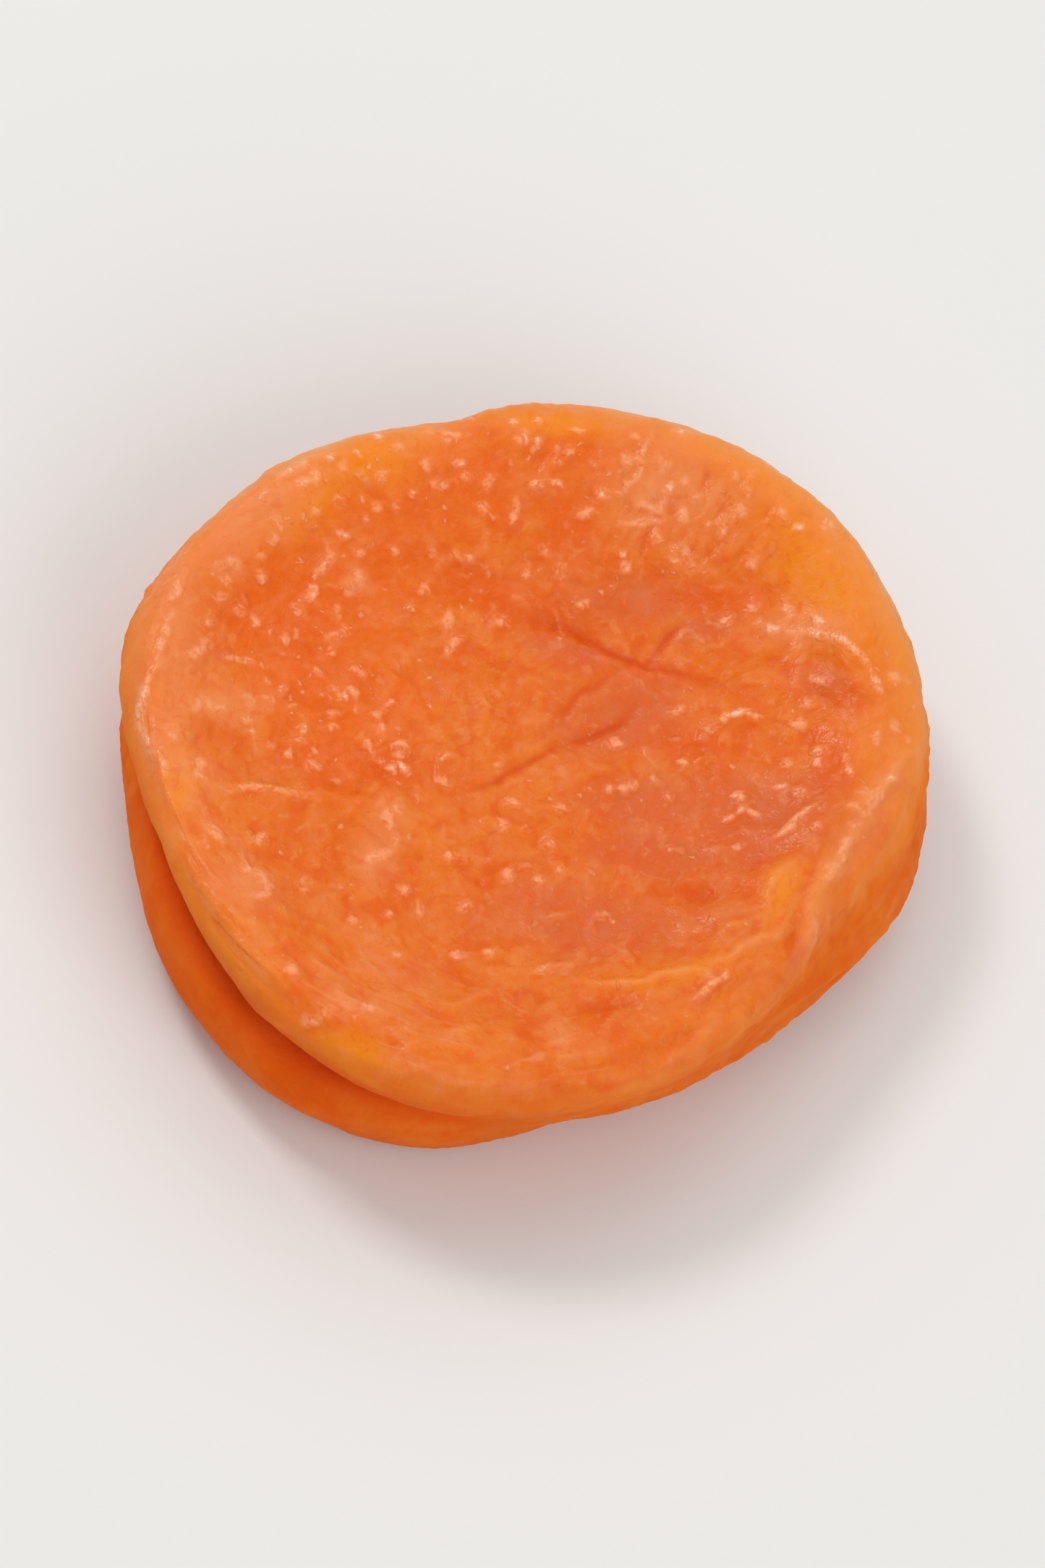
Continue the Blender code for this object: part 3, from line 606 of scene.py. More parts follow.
def along(rings, share, end_slopes):
    """The value at a share of the way along a section, by a smooth curve through its rings."""
    span = np.diff(KNOTS)
    chord = np.diff(rings, axis=0) / span[:, None]
    slopes = np.empty_like(rings)
    weight = (span[1:] / (span[1:] + span[:-1]))[:, None]
    slopes[1:-1] = weight * chord[:-1] + (1.0 - weight) * chord[1:]
    slopes[0] = end_slopes[0]
    slopes[-1] = end_slopes[1]
    index = np.clip(np.searchsorted(KNOTS, share, side="right") - 1, 0, len(span) - 1)
    column = np.arange(len(share))
    width = span[index]
    return hermite(
        rings[index, column],
        rings[index + 1, column],
        slopes[index, column] * width,
        slopes[index + 1, column] * width,
        (share - KNOTS[index]) / width,
    )


def circle_points(azimuth, radius):
    """Points in the plane, at each azimuth on a circle. The radius may differ from point to point."""
    return np.column_stack((radius * np.cos(azimuth), radius * np.sin(azimuth)))


def plain_form(azimuth, share):
    """Points in mm of the fruit before it wrinkles."""
    radii, heights = section(azimuth)
    top_slope = radii[1] / KNOTS[1]
    under_slope = -radii[-2] / (KNOTS[-1] - KNOTS[-2])
    radius = along(radii, share, (top_slope, under_slope))
    height = along(heights, share, (0.0, 0.0))
    return np.column_stack((circle_points(azimuth, radius), height))


def noise_at(points):
    return np.array([noise.noise(point) for point in map(Vector, points.tolist())])


def layered_noise(points, layers):
    """The sum of noises of several wavelengths."""
    return sum(layer.height * noise_at(points / layer.length + layer.shift) for layer in layers)


def ease(low, high, value):
    """0 below low, 1 above high, and a smooth rise between them."""
    share = np.clip((value - low) / (high - low), 0.0, 1.0)
    return share * share * (3.0 - 2.0 * share)


def between(low, high, share):
    """The value at a share of the way from low to high."""
    return low + (high - low) * share


def in_band(band, share, wobble=0.0):
    """1 inside a band and 0 outside it. Its upper edge may be uneven."""
    upper, lower = band
    return ease(*upper, share + wobble) * (1.0 - ease(*lower, share))


def ridged(points, sharpness):
    """Narrow ridges where the noise crosses zero: 1 on a ridge and 0 away from it."""
    return 1.0 - np.minimum(np.abs(noise_at(points)) * sharpness, 1.0)


def ridged_twice(points, lengths, sharpness, shift):
    """Ridges at two sizes, of which the finer ones are lower."""
    coarse = ridged(points / lengths[0] + shift, sharpness[0])
    return coarse + FINER_SHARE * ridged(points / lengths[1] + shift + CRINKLE_SHIFT, sharpness[1])


def crinkles(points, pattern):
    """Ridges and thinner valleys that cross each other."""
    ridges = ridged_twice(points, pattern.lengths, RIDGE_SHARPNESS, pattern.shift)
    valleys = ridged_twice(points, pattern.lengths, VALLEY_SHARPNESS, pattern.shift + 2 * CRINKLE_SHIFT)
    return RIDGE_SHARE * ridges - VALLEY_SHARE * valleys


def bent(points, bend):
    """Points pushed aside by a slow noise, so that what is drawn on them meanders."""
    shifts = [noise_at(points / bend.length + shift) for shift in NOISE_SHIFTS]
    return points + bend.amount * np.column_stack(shifts)


def smooth_line(numbers):
    """Points close together on the smooth line through the points that are given as x and y in turn."""
    points = np.reshape(numbers, (-1, 2))
    ends = np.vstack((2 * points[0] - points[1], points, 2 * points[-1] - points[-2]))
    line = []
    for before, here, after, beyond in zip(ends, ends[1:], ends[2:], ends[3:], strict=False):
        slopes = (after - before) / 2, (beyond - here) / 2
        line += [hermite(here, after, *slopes, step / LINE_STEPS) for step in range(LINE_STEPS)]
    line.append(points[-1])
    return np.array(line)


def place_on_line(flat, line):
    """How far each point is from a line, on which side (left is positive), and its share of the way."""
    distance = np.full(len(flat), np.inf)
    side = np.zeros(len(flat))
    share = np.zeros(len(flat))
    for number, (start, end) in enumerate(zip(line, line[1:], strict=False)):
        run = end - start
        offset = flat - start
        part = np.clip(offset @ run / (run @ run), 0.0, 1.0)
        gap = np.linalg.norm(offset - part[:, None] * run, axis=1)
        nearer = gap < distance
        distance[nearer] = gap[nearer]
        side[nearer] = np.sign(run[0] * offset[nearer, 1] - run[1] * offset[nearer, 0])
        share[nearer] = (number + part[nearer]) / (len(line) - 1)
    return distance, side, share


def near_line(flat, line, reach):
    """Indices of the points that lie in the box round a line, widened by a reach."""
    low = line.min(axis=0) - reach
    high = line.max(axis=0) + reach
    return np.flatnonzero(((flat > low) & (flat < high)).all(axis=1))


def mark_profile(flat, numbers, width):
    """Which points a mark reaches, and its height there as a share of its rise.

    A valley has slightly swollen banks, and a ridge slightly sunken ones.
    """
    if len(numbers) == 2:
        near = near_line(flat, np.array([numbers]), DOT_REACH * width)
        return near, np.exp(-((flat[near] - numbers) ** 2).sum(axis=1) / (DOT_SPREAD * width) ** 2)
    line = smooth_line(numbers)
    near = near_line(flat, line, LINE_REACH * width)
    distance, _, share = place_on_line(flat[near], line)
    taper = np.sin(math.pi * np.clip(share, LINE_END, 1.0 - LINE_END)) ** LINE_TAPER
    across = distance / width
    bank = np.exp(-(((across - BANK_PLACE) / BANK_WIDTH) ** 2))
    return near, taper * (np.exp(-(across**2)) - BANK_SHARE * bank)


def draw_marks(flat, groups):
    """The rise in mm that marks give, and a mask that is as high as their strength on their lines."""
    rise = np.zeros(len(flat))
    mask = np.zeros(len(flat))
    for group in groups:
        for line in group.lines:
            near, profile = mark_profile(flat, line, group.width)
            rise[near] += group.rise * profile
            mask[near] = np.maximum(mask[near], group.strength * profile)
    return rise, mask


def step_rise(flat, step):
    """The rise in mm that a step gives: up on the left of its line and down on the right."""
    distance, side, share = place_on_line(flat, smooth_line(step.line))
    taper = np.sqrt(np.sin(math.pi * np.clip(share, 0.0, 1.0)))
    across = np.tanh(side * distance / step.width)
    return step.rise * taper * across * np.exp(-((distance / step.reach) ** 2))


def patch_mask(flat, patches, wobble, edge):
    """1 inside ovals and 0 outside them. Wobble makes their outlines uneven, and edge makes them soft."""
    mask = np.zeros(len(flat))
    for *place, length, width, angle in patches:
        turn = Matrix.Rotation(angle, 2)
        local = (flat - place) @ turn / (length, width)
        reach = np.hypot(local[:, 0], local[:, 1]) + wobble
        mask = np.maximum(mask, 1.0 - ease(1.0 - edge, 1.0 + edge, reach))
    return mask


class Zones:
    """Where on the skin each point lies, as masks from 0 to 1."""

    def __init__(self, points, azimuth, share):
        flat = points[:, :2] - FACE_MIDDLE
        wobble = layered_noise(points, WOBBLE_LAYERS)
        self.face = 1.0 - ease(*FACE_END, share)
        # The pale colour on the outer side of the rim is painted light
        for name, ring in RIM_COLOURS.items():
            shares = shares_around(ring.shares, azimuth, ring.uneven * wobble)
            setattr(self, name, shares * in_band(ring.band, share, ring.waver * wobble))
        # Painted shade in the groove, and on the lower lobe, where it is weaker on the lit side of the rim
        cleft = np.clip(around(GROOVE_DEPTHS, azimuth) / FULL_GROOVE, 0.0, 1.0)
        self.groove = cleft * in_band(GROOVE_BAND, share)
        sunny = shares_around(RIM_COLOURS["pale"].shares, azimuth)
        dim = between(SHALLOW_DIM, 1.0, cleft) * (1.0 - SUNNY_CLEAR * sunny)
        self.lobe = dim * in_band(LOBE_BAND, share)
        radius = np.hypot(points[:, 0], points[:, 1])
        self.outer = ease(*OUTER_RADII, radius) * shares_around(LINE_SHARES, azimuth)
        for name, (patches, edge) in FACE_PATCHES.items():
            setattr(self, name, patch_mask(flat, patches, wobble, edge) * self.face)
        amber = patch_mask(flat, AMBER_PATCHES, wobble, AMBER_EDGE)
        amber = np.maximum(amber, draw_marks(flat, AMBER_LINES)[1])
        self.amber = amber * (1.0 - ease(*AMBER_END, share))


def broad_relief(points, azimuth, share, look):
    """Lumps, and soft ridges that run along the rim near it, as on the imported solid."""
    lumps = noise_at(points / LUMP_LENGTH) * look.lump_height
    radius = np.hypot(points[:, 0], points[:, 1])
    near_rim = np.clip((radius - RIM_START) / (RIM_FULL - RIM_START), 0.0, 1.0)
    circle = circle_points(azimuth, radius * (1.0 - near_rim) + RIM_CIRCLE * near_rim)
    stretched = np.column_stack((circle / RIM_STRETCH, share * SECTION_LENGTH))
    free = ridged(bent(points, BROAD_BEND) / WRINKLE_LENGTH, WRINKLE_SHARPNESS)
    along_rim = ridged(stretched / WRINKLE_LENGTH + RIM_SHIFT, WRINKLE_SHARPNESS)
    ridges = free * (1.0 - near_rim) + along_rim * near_rim
    height = look.wrinkle_height * between(MIDDLE_WRINKLES, 1.0, near_rim)
    return lumps + (ridges - 0.5) * height


def stalk_rise(points):
    """The pucker where the stalk was."""
    middle = np.array((math.cos(STALK_AZIMUTH), math.sin(STALK_AZIMUTH), 0.0)) * STALK_REACH
    middle[2] = STALK_HEIGHT
    distance = np.linalg.norm(points - middle, axis=1)
    return -STALK_DEPTH * np.exp(-((distance / STALK_RADIUS) ** 2))


def beads_at(points, length):
    """Small round beads set apart by a length in mm, some high, some low and some missing."""
    beads = np.empty(len(points))
    for number, point in enumerate(map(Vector, (points / length).tolist())):
        gaps, middles = noise.voronoi(point)
        height = BEAD_HEIGHT + BEAD_SPREAD * noise.noise(middles[0] * BEAD_SHUFFLE)
        beads[number] = max(height, 0.0) * math.exp(-((gaps[0] / BEAD_RADIUS) ** 2))
    return beads


def fine_relief(points, azimuth, share, zones):
    """Fine wrinkles from about -1 to 1: soft in the middle, along the rim near it, inwards at the top."""
    circle = circle_points(azimuth, THREAD_CIRCLE)
    meridian = share * MERIDIAN
    along_rim = bent(np.column_stack((circle / RIM_RUN, meridian)), ALONG_RIM_BEND)
    across_rim = bent(np.column_stack((circle, meridian / INWARD_RUN)), ACROSS_RIM_BEND)
    free = bent(points, FREE_BEND)
    wrinkled = ease(*WRINKLED_RANGE, layered_noise(points, WRINKLED_LAYERS))
    loose = crinkles(free, LOOSE_PATTERN) * between(*LOOSE_SHARES, wrinkled)
    loose += layered_noise(free, SOFT_LAYERS)
    tangent = crinkles(along_rim, TANGENT_PATTERN) * between(*TANGENT_SHARES, wrinkled)
    tangent *= between(*TANGENT_SHARES, zones.face)
    radial = crinkles(across_rim, RADIAL_PATTERN)
    on_rim = zones.outer * RIM_CRINKLES * (1.0 - zones.ladder)
    inside = (1.0 - on_rim) * (1.0 - zones.ladder)
    mixed = loose * inside + tangent * on_rim + radial * zones.ladder
    return mixed * (1.0 - SMOOTHED * zones.bloom) * (1.0 - SMOOTHED * zones.amber)


class Relief:
    """How far in mm the skin stands out from the plain form, and the masks of what is drawn on it."""

    def __init__(self, points, azimuth, share, zones, look):
        shifts = NOISE_SHIFTS[:2]
        uneven = np.column_stack([noise_at(points / UNEVEN_LENGTH + shift) for shift in shifts])
        flat = points[:, :2] - FACE_MIDDLE + UNEVEN_MARKS * uneven
        rough = flat + UNEVEN_RIDGES * uneven
        below = points[:, :2]
        on_face = np.clip((FACE_MARKS_END - share) / MARK_FADE, 0.0, 1.0)
        on_under = np.clip((share - UNDER_MARKS_START) / MARK_FADE, 0.0, 1.0)
        troughs, _ = draw_marks(flat, TROUGHS)
        creases, crease = draw_marks(flat, CREASES)
        ridges, ridge = draw_marks(rough, RIDGES)
        glints, glint = draw_marks(rough, GLINTS)
        under_troughs, _ = draw_marks(below, UNDER_TROUGHS)
        under_creases, under_crease = draw_marks(below, UNDER_CREASES)
        steps = sum(step_rise(flat, step) for step in STEPS)
        beads = beads_at(bent(points, BEAD_BEND), look.grain_length)
        self.fine = fine_relief(points, azimuth, share, zones)
        self.bead = beads * between(STRAY_BEADS, 1.0, zones.grain)
        self.crease = on_face * crease + on_under * UNDER_CREASE_SHARE * under_crease
        self.ridge = on_face * ridge
        self.glint = on_face * glint
        self.rise = broad_relief(points, azimuth, share, look) + stalk_rise(points)
        self.rise += on_face * (troughs + creases + ridges + glints + steps)
        self.rise += on_under * (under_troughs + under_creases)
        self.rise += self.fine * look.fine_height + self.bead * look.grain_height
        near_foot = np.clip((FOOT_CALM_HEIGHT - points[:, 2]) / FOOT_CALM_HEIGHT, 0.0, 1.0)
        self.rise *= 1.0 - FOOT_CALM * near_foot * (share > TURN_SHARE)


def ball_mesh(name, cells):
    """A cube whose faces are grids, which will be drawn out into a ball with even quads all over."""
    skin = bmesh.new()
    bmesh.ops.create_cube(skin, size=2.0)
    bmesh.ops.subdivide_edges(skin, edges=skin.edges[:], cuts=cells - 1, use_grid_fill=True)
    bmesh.ops.recalc_face_normals(skin, faces=skin.faces[:])
    mesh = bpy.data.meshes.new(name)
    skin.to_mesh(mesh)
    skin.free()
    return mesh


def read_vectors(items, field):
    values = np.empty(len(items) * 3)
    items.foreach_get(field, values)
    return values.reshape(-1, 3)


def move_points(mesh, points):
    mesh.vertices.foreach_set("co", points.ravel())
    mesh.update()


def store(mesh, name, values):
    attribute = mesh.attributes.new(name, "FLOAT", "POINT")
    attribute.data.foreach_set("value", values.astype(np.float32))


def store_rim_place(mesh, azimuth, share):
    """Where each point lies along the rim and across it, in mm, for the threads of the material."""
    circle = circle_points(azimuth, THREAD_CIRCLE) / RIM_RUN
    place = np.column_stack((circle, share * MERIDIAN)).astype(np.float32)
    attribute = mesh.attributes.new("rim_place", "FLOAT_VECTOR", "POINT")
    attribute.data.foreach_set("vector", place.ravel())


def shape_skin(mesh, look):
    """Draws the cube out to the fruit's skin and stores the masks that its material reads."""
    cube = np.tan(read_vectors(mesh.vertices, "co") * math.pi / 4)
    ball = cube / np.linalg.norm(cube, axis=1)[:, None]
    azimuth = np.arctan2(ball[:, 1], ball[:, 0])
    share = np.arccos(np.clip(ball[:, 2], -1.0, 1.0)) / math.pi
    share -= FACE_CROWDING * np.sin(math.pi * share)
    points = plain_form(azimuth, share)
    move_points(mesh, points)
    normals = read_vectors(mesh.vertex_normals, "vector")
    zones = Zones(points, azimuth, share)
    relief = Relief(points, azimuth, share, zones, look)
    points = points + normals * relief.rise[:, None]
    points[:, 2] = np.maximum(points[:, 2], 0.0)
    cad_low, cad_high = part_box(NODE)
    middle = (points.min(axis=0) + points.max(axis=0)) / 2
    cad_middle = (np.array(cad_low) + np.array(cad_high)) / 2 / MM
    points[:, :2] += (cad_middle - middle)[:2]
    move_points(mesh, points * MM)
    for source, names in ((zones, ZONE_MASKS), (relief, RELIEF_MASKS)):
        for name in names:
            store(mesh, name, getattr(source, name))
    store_rim_place(mesh, azimuth, share)


class NodeTree:
    """A short way to add and join shader nodes."""

    def __init__(self, tree):
        self.tree = tree

    def add(self, kind, settings=None, **inputs):
        node = self.tree.nodes.new(kind)
        for key, value in (settings or {}).items():
            setattr(node, key, value)
        for key, value in inputs.items():
            self.set(node.inputs[key.replace("_", " ")], value)
        return node

    def set(self, socket, value):
        if isinstance(value, bpy.types.NodeSocket):
            self.tree.links.new(value, socket)
        else:
            socket.default_value = value

    def attribute(self, name, output="Fac"):
        return self.add("ShaderNodeAttribute", {"attribute_name": name}).outputs[output]

    def math(self, operation, first, second=0.0, third=0.0, clamp=False):
        node = self.add("ShaderNodeMath", {"operation": operation, "use_clamp": clamp})
        for socket, value in zip(node.inputs, (first, second, third), strict=True):
            self.set(socket, value)
        return node.outputs[0]

    def product(self, first, *others):
        for other in others:
            first = self.math("MULTIPLY", first, other)
        return first

    def highest(self, first, *others):
        for other in others:
            first = self.math("MAXIMUM", first, other)
        return first

    def linear(self, value, slope, start, clamp=False):
        """A value times a slope, added to a start."""
        return self.math("MULTIPLY_ADD", value, slope, start, clamp)

    def remap(self, value, low, high, to_low=0.0, to_high=1.0):
        """A smooth change from one value to another, while the input goes from low to high."""
        node = self.add(
            "ShaderNodeMapRange", {"interpolation_type": "SMOOTHSTEP"},
            Value=value, From_Min=low, From_Max=high, To_Min=to_low, To_Max=to_high,
        )
        return node.outputs[0]

    def mix(self, share, first, second):
        node = self.add("ShaderNodeMix", {"data_type": "RGBA"})
        for socket, value in zip(COLOUR_MIX_SOCKETS, (share, first, second), strict=True):
            self.set(node.inputs[socket], value)
        return node.outputs[COLOUR_MIX_OUTPUT]

    def noise(self, vector, grain):
        node = self.add(
            "ShaderNodeTexNoise", Vector=vector, Scale=grain.scale, Detail=grain.detail,
            Roughness=grain.roughness, Distortion=grain.distortion,
        )
        return node.outputs["Fac"]

    def lines(self, value, sharpness):
        """Thin lines where a noise crosses its middle."""
        away = self.math("ABSOLUTE", self.math("SUBTRACT", value, 0.5))
        return self.linear(away, -sharpness, 1.0, clamp=True)


def opaque(colour):
    return (*colour, 1.0)


def flecks_at(tree, place, kind):
    """Uneven dots of many sizes, on a share of the cells of a honeycomb."""
    aside = tree.add("ShaderNodeTexNoise", Vector=place, Scale=FLECK_BEND_SCALE * kind.scale, Detail=1.0)
    bend = (FLECK_BEND / kind.scale,) * 3
    shift = tree.add("ShaderNodeVectorMath", {"operation": "MULTIPLY_ADD"})
    for socket, value in zip(shift.inputs, (aside.outputs["Color"], bend, place), strict=False):
        tree.set(socket, value)
    cells = tree.add("ShaderNodeTexVoronoi", Vector=shift.outputs[0], Scale=kind.scale)
    chances = tree.add("ShaderNodeSeparateColor", Color=cells.outputs["Color"]).outputs
    share = tree.linear(tree.attribute("grain"), kind.grained, kind.share)
    kept = tree.remap(tree.math("SUBTRACT", share, chances[0]), 0.0, FLECK_FADE)
    smallest = FLECK_SMALLEST * kind.reach
    size = tree.linear(chances[1], kind.reach - smallest, smallest)
    inside = tree.remap(tree.math("DIVIDE", cells.outputs["Distance"], size), 1.0, FLECK_CORE)
    return tree.product(inside, kept, tree.attribute("face"))


def threads_on(tree, place):
    """Fine threads of raised skin, which run along the rim."""
    rim_place = tree.attribute("rim_place", "Vector")
    tangent = tree.lines(tree.noise(rim_place, THREAD_NOISE), THREAD_SHARPNESS)
    kept = tree.remap(tree.noise(place, THREAD_PLACES), 0.42, 0.6)
    inside = tree.math("POWER", tree.attribute("face"), THREAD_FADE)
    return tree.product(tangent, kept, tree.attribute("outer"), inside)


def net_on(tree, place):
    """Soft sunken lines, which part the skin into small flat cells."""
    coarse = tree.lines(tree.noise(place, NET_NOISE), NET_SHARPNESS)
    fine = tree.lines(tree.noise(place, FINE_NET_NOISE), FINE_NET_SHARPNESS)
    lines = tree.highest(coarse, tree.product(fine, FINE_NET_SHARE))
    kept = tree.remap(tree.noise(place, NET_PLACES), 0.4, 0.6, 0.15, 1.0)
    smooth = tree.highest(tree.attribute("rim"), tree.attribute("amber"))
    rough = tree.linear(smooth, -RIM_CLEAR, 1.0, clamp=True)
    return tree.product(lines, kept, rough, tree.attribute("face"))


def draw_on(tree, place):
    """What is drawn on the skin, finer than its mesh."""
    large, small, flecks = (flecks_at(tree, place, kind) for kind in (LARGE_GLINT_DOTS, SMALL_GLINT_DOTS, PAINTED_SHEEN_FLECKS))
    chips = tree.remap(tree.noise(place, CHIP_NOISE), 0.35, 0.62, 0.45, 1.2)
    return Drawn(
        dots=tree.highest(large, small),
        flecks=flecks,
        threads=threads_on(tree, place),
        net=net_on(tree, place),
        glints=tree.product(tree.attribute("glint"), chips),
    )


def skin_colour(tree, place, drawn, finish):
    """Orange flesh, golden along the rim. Painted shade makes it darker and redder where it is sunken, and
    painted sheen and highlights make it paler where it is flat or raised.
    """
    wide, small, tiny = (tree.noise(place, grain) for grain in (WIDE_NOISE, SMALL_NOISE, TINY_NOISE))
    face, rim, lobe, fine = (tree.attribute(name) for name in ("face", "rim", "lobe", "fine"))
    rough = tree.linear(rim, -RIM_CLEAR, face, clamp=True)
    pits = tree.product(tree.remap(tiny, 0.45, 0.28, 0.0, 0.5), rough)
    sheen_specks = tree.product(tree.remap(tiny, 0.54, 0.72, 0.0, 0.42), face)
    crest_highlights = tree.remap(fine, 0.3, 1.4, 0.0, 0.5)

    def part(name, share):
        return tree.product(tree.attribute(name), share)

    # From the deepest veil of colour to the topmost, with where it lies
    veils = (
        (tree.remap(small, 0.52, 0.3, 0.0, 0.8), "deep"),
        (tree.product(rim, tree.remap(wide, 0.2, 0.6, 0.35, 0.8)), "rim"),
        (part("gold", 0.75), "gold"),
        # Deeper flesh, partly painted shade along creases
        (part("deep", 0.8), "deep"),
        (part("grain", 0.6), "grain"),
        (part("amber", 0.75), "amber"),
        # Painted light on the outer side of the rim
        (part("pale", 0.8), "pale"),
        # Painted sheen on the face: paler places, and rosy places
        (part("haze", 0.8), "haze"),
        (part("bloom", tree.remap(small, 0.3, 0.7, 0.55, 0.95)), "bloom"),
        (tree.remap(small, 0.5, 0.72, 0.0, 0.25), "haze"),
        # Painted shade on the wall and the lower lobe
        (tree.product(lobe, tree.remap(wide, 0.35, 0.62, 1.0, 0.65)), "lobe"),
        # Painted shade in the groove
        (part("groove", 0.95), "shade_in_hollows"),
        # Painted shade in the valleys of the fine wrinkles and in small pits
        (tree.highest(tree.remap(fine, -0.2, -1.2, 0.0, 0.6), pits), "deep"),
        # Painted highlight on the crests of the fine wrinkles, less on the shaded lobe
        (tree.product(crest_highlights, tree.linear(lobe, -0.3, 1.0)), "crest"),
        # Painted sheen in small specks
        (tree.product(sheen_specks, tree.linear(tree.attribute("grain"), -0.5, 1.0)), "haze"),
        # Painted shade in the net of sunken lines
        (tree.product(drawn.net, 0.35), "deep"),
        # Painted shade in the creases
        (tree.product(tree.remap(tree.attribute("crease"), 0.1, 1.0), 0.8), "shade_in_hollows"),
        # Painted highlight on the ridges
        (part("ridge", 0.42), "crest"),
        # Painted highlights on threads, beads and dots, painted sheen on flecks, painted highlights on wet
        # marks
        (tree.product(drawn.threads, 0.22), "bead"),
        (tree.remap(tree.attribute("bead"), 0.3, 1.2, 0.0, 0.15), "bead"),
        (tree.product(drawn.flecks, 0.3), "haze"),
        (tree.product(drawn.dots, 0.5), "bead"),
        (tree.remap(drawn.glints, 0.1, 0.8, 0.0, 0.7), "bead"),
        (tree.remap(drawn.glints, 0.7, 1.1, 0.0, 0.75), "glint"),
    )
    warm = tree.remap(wide, 0.35, 0.65)
    colour = tree.mix(warm, opaque(finish.flesh_colour), opaque(finish.warm_colour))
    for share, name in veils:
        colour = tree.mix(share, colour, opaque(getattr(finish, f"{name}_colour")))
    return colour


def skin_bump(tree, place, drawn, finish):
    """Threads, dots and a grain that are too fine for the mesh."""
    layers = (
        (drawn.threads, finish.thread_share),
        (drawn.net, -finish.net_share),
        (tree.noise(place, PORE_NOISE), finish.pore_share),
        (tree.noise(place, SOFT_NOISE), finish.soft_share),
        (drawn.dots, finish.dot_share),
        (drawn.glints, finish.dot_share),
        (drawn.flecks, finish.fleck_share),
    )
    height = 0.0
    for layer, share in layers:
        height = tree.linear(layer, share, height)
    bump = tree.add("ShaderNodeBump", Strength=1.0, Distance=finish.bump_distance, Height=height)
    return bump.outputs["Normal"]


def skin_gloss(tree, place, drawn, finish):
    """Roughness, and the weight of the glossy film, which lies on what stands out and on a few patches."""
    patchy = tree.noise(place, PATCHY_NOISE)
    face, ridge, crease = (tree.attribute(name) for name in ("face", "ridge", "crease"))
    roughness = tree.remap(patchy, 0.3, 0.7, finish.roughness_low, finish.roughness_high)
    wall = tree.math("SUBTRACT", 1.0, face)
    roughness = tree.linear(wall, finish.wall_roughness, roughness)
    thin = tree.product(tree.highest(ridge, drawn.threads), RIDGE_GLOSS)
    raised = tree.highest(thin, drawn.dots, drawn.glints, tree.product(drawn.flecks, FLECK_GLOSS))
    wet = tree.linear(tree.remap(patchy, 0.42, 0.62), WET_GLOSS, DRY_GLOSS)
    open_skin = tree.math("SUBTRACT", 1.0, crease, clamp=True)
    return roughness, tree.product(tree.highest(raised, wet), face, open_skin)


def new_material(name):
    material = bpy.data.materials.new(name)
    material.use_nodes = True
    return material, material.node_tree.nodes["Principled BSDF"]


def new_object(name, data):
    item = bpy.data.objects.new(name, data)
    bpy.context.scene.collection.objects.link(item)
    return item


def skin_material(finish):
    material, shader = new_material(SLOT)
    tree = NodeTree(material.node_tree)
    place = tree.add("ShaderNodeTexCoord").outputs["Object"]
    drawn = draw_on(tree, place)
    roughness, coat = skin_gloss(tree, place, drawn, finish)
    bump = skin_bump(tree, place, drawn, finish)
    for name, value in {
        "Base Color": skin_colour(tree, place, drawn, finish),
        "Roughness": roughness,
        "Normal": bump,
        "Coat Normal": bump,
        "Coat Weight": coat,
        "IOR": 1.45,
        "Metallic": 0.0,
        "Specular IOR Level": 0.14,
        "Subsurface Weight": finish.glow_weight,
        "Subsurface Radius": finish.glow_colour,
        "Subsurface Scale": finish.glow_depth,
        "Coat Roughness": finish.coat_roughness,
        "Coat IOR": 1.4,
    }.items():
        tree.set(shader.inputs[name], value)
    return material


def mm_property(name, description, default):
    return FloatProperty(name=name, description=f"{description}, in mm", default=default)


def share_property(name, description, default):
    return FloatProperty(name=name, description=f"{description}, as a share of the bump", default=default)


def factor_property(name, description, default):
    return FloatProperty(
        name=name, description=description, subtype="FACTOR", min=0.0, max=1.0, default=default
    )


def length_property(name, description, default, precision=2):
    return FloatProperty(
        name=name, description=description, subtype="DISTANCE", precision=precision, default=default
    )


def angle_property(name, description, degrees):
    return FloatProperty(name=name, description=description, subtype="ANGLE", default=math.radians(degrees))


def power_property(name, default):
    return FloatProperty(name=name, description="Power in watts", unit="POWER", default=default)


def colour_property(name, description, default):
    return FloatVectorProperty(
        name=name, description=description, subtype="COLOR", size=3, min=0.0, max=1.0, default=default
    )


class ApricotSkin(bpy.types.PropertyGroup):
    cells: IntProperty(
        name="Cells", description="Quads along each edge of the starting cube", default=128, min=8
    )
    lump_height: mm_property("Lumps", "Height of the broad lumps", 0.45)
    wrinkle_height: mm_property("Wrinkles", "Height of the coarse wrinkles", 0.18)
    fine_height: mm_property("Fine wrinkles", "Height of the fine wrinkles", 0.12)
    grain_height: mm_property("Grain height", "Height of the beads of the grain", 0.06)
    grain_length: mm_property("Grain size", "From bead to bead of the grain", 0.95)


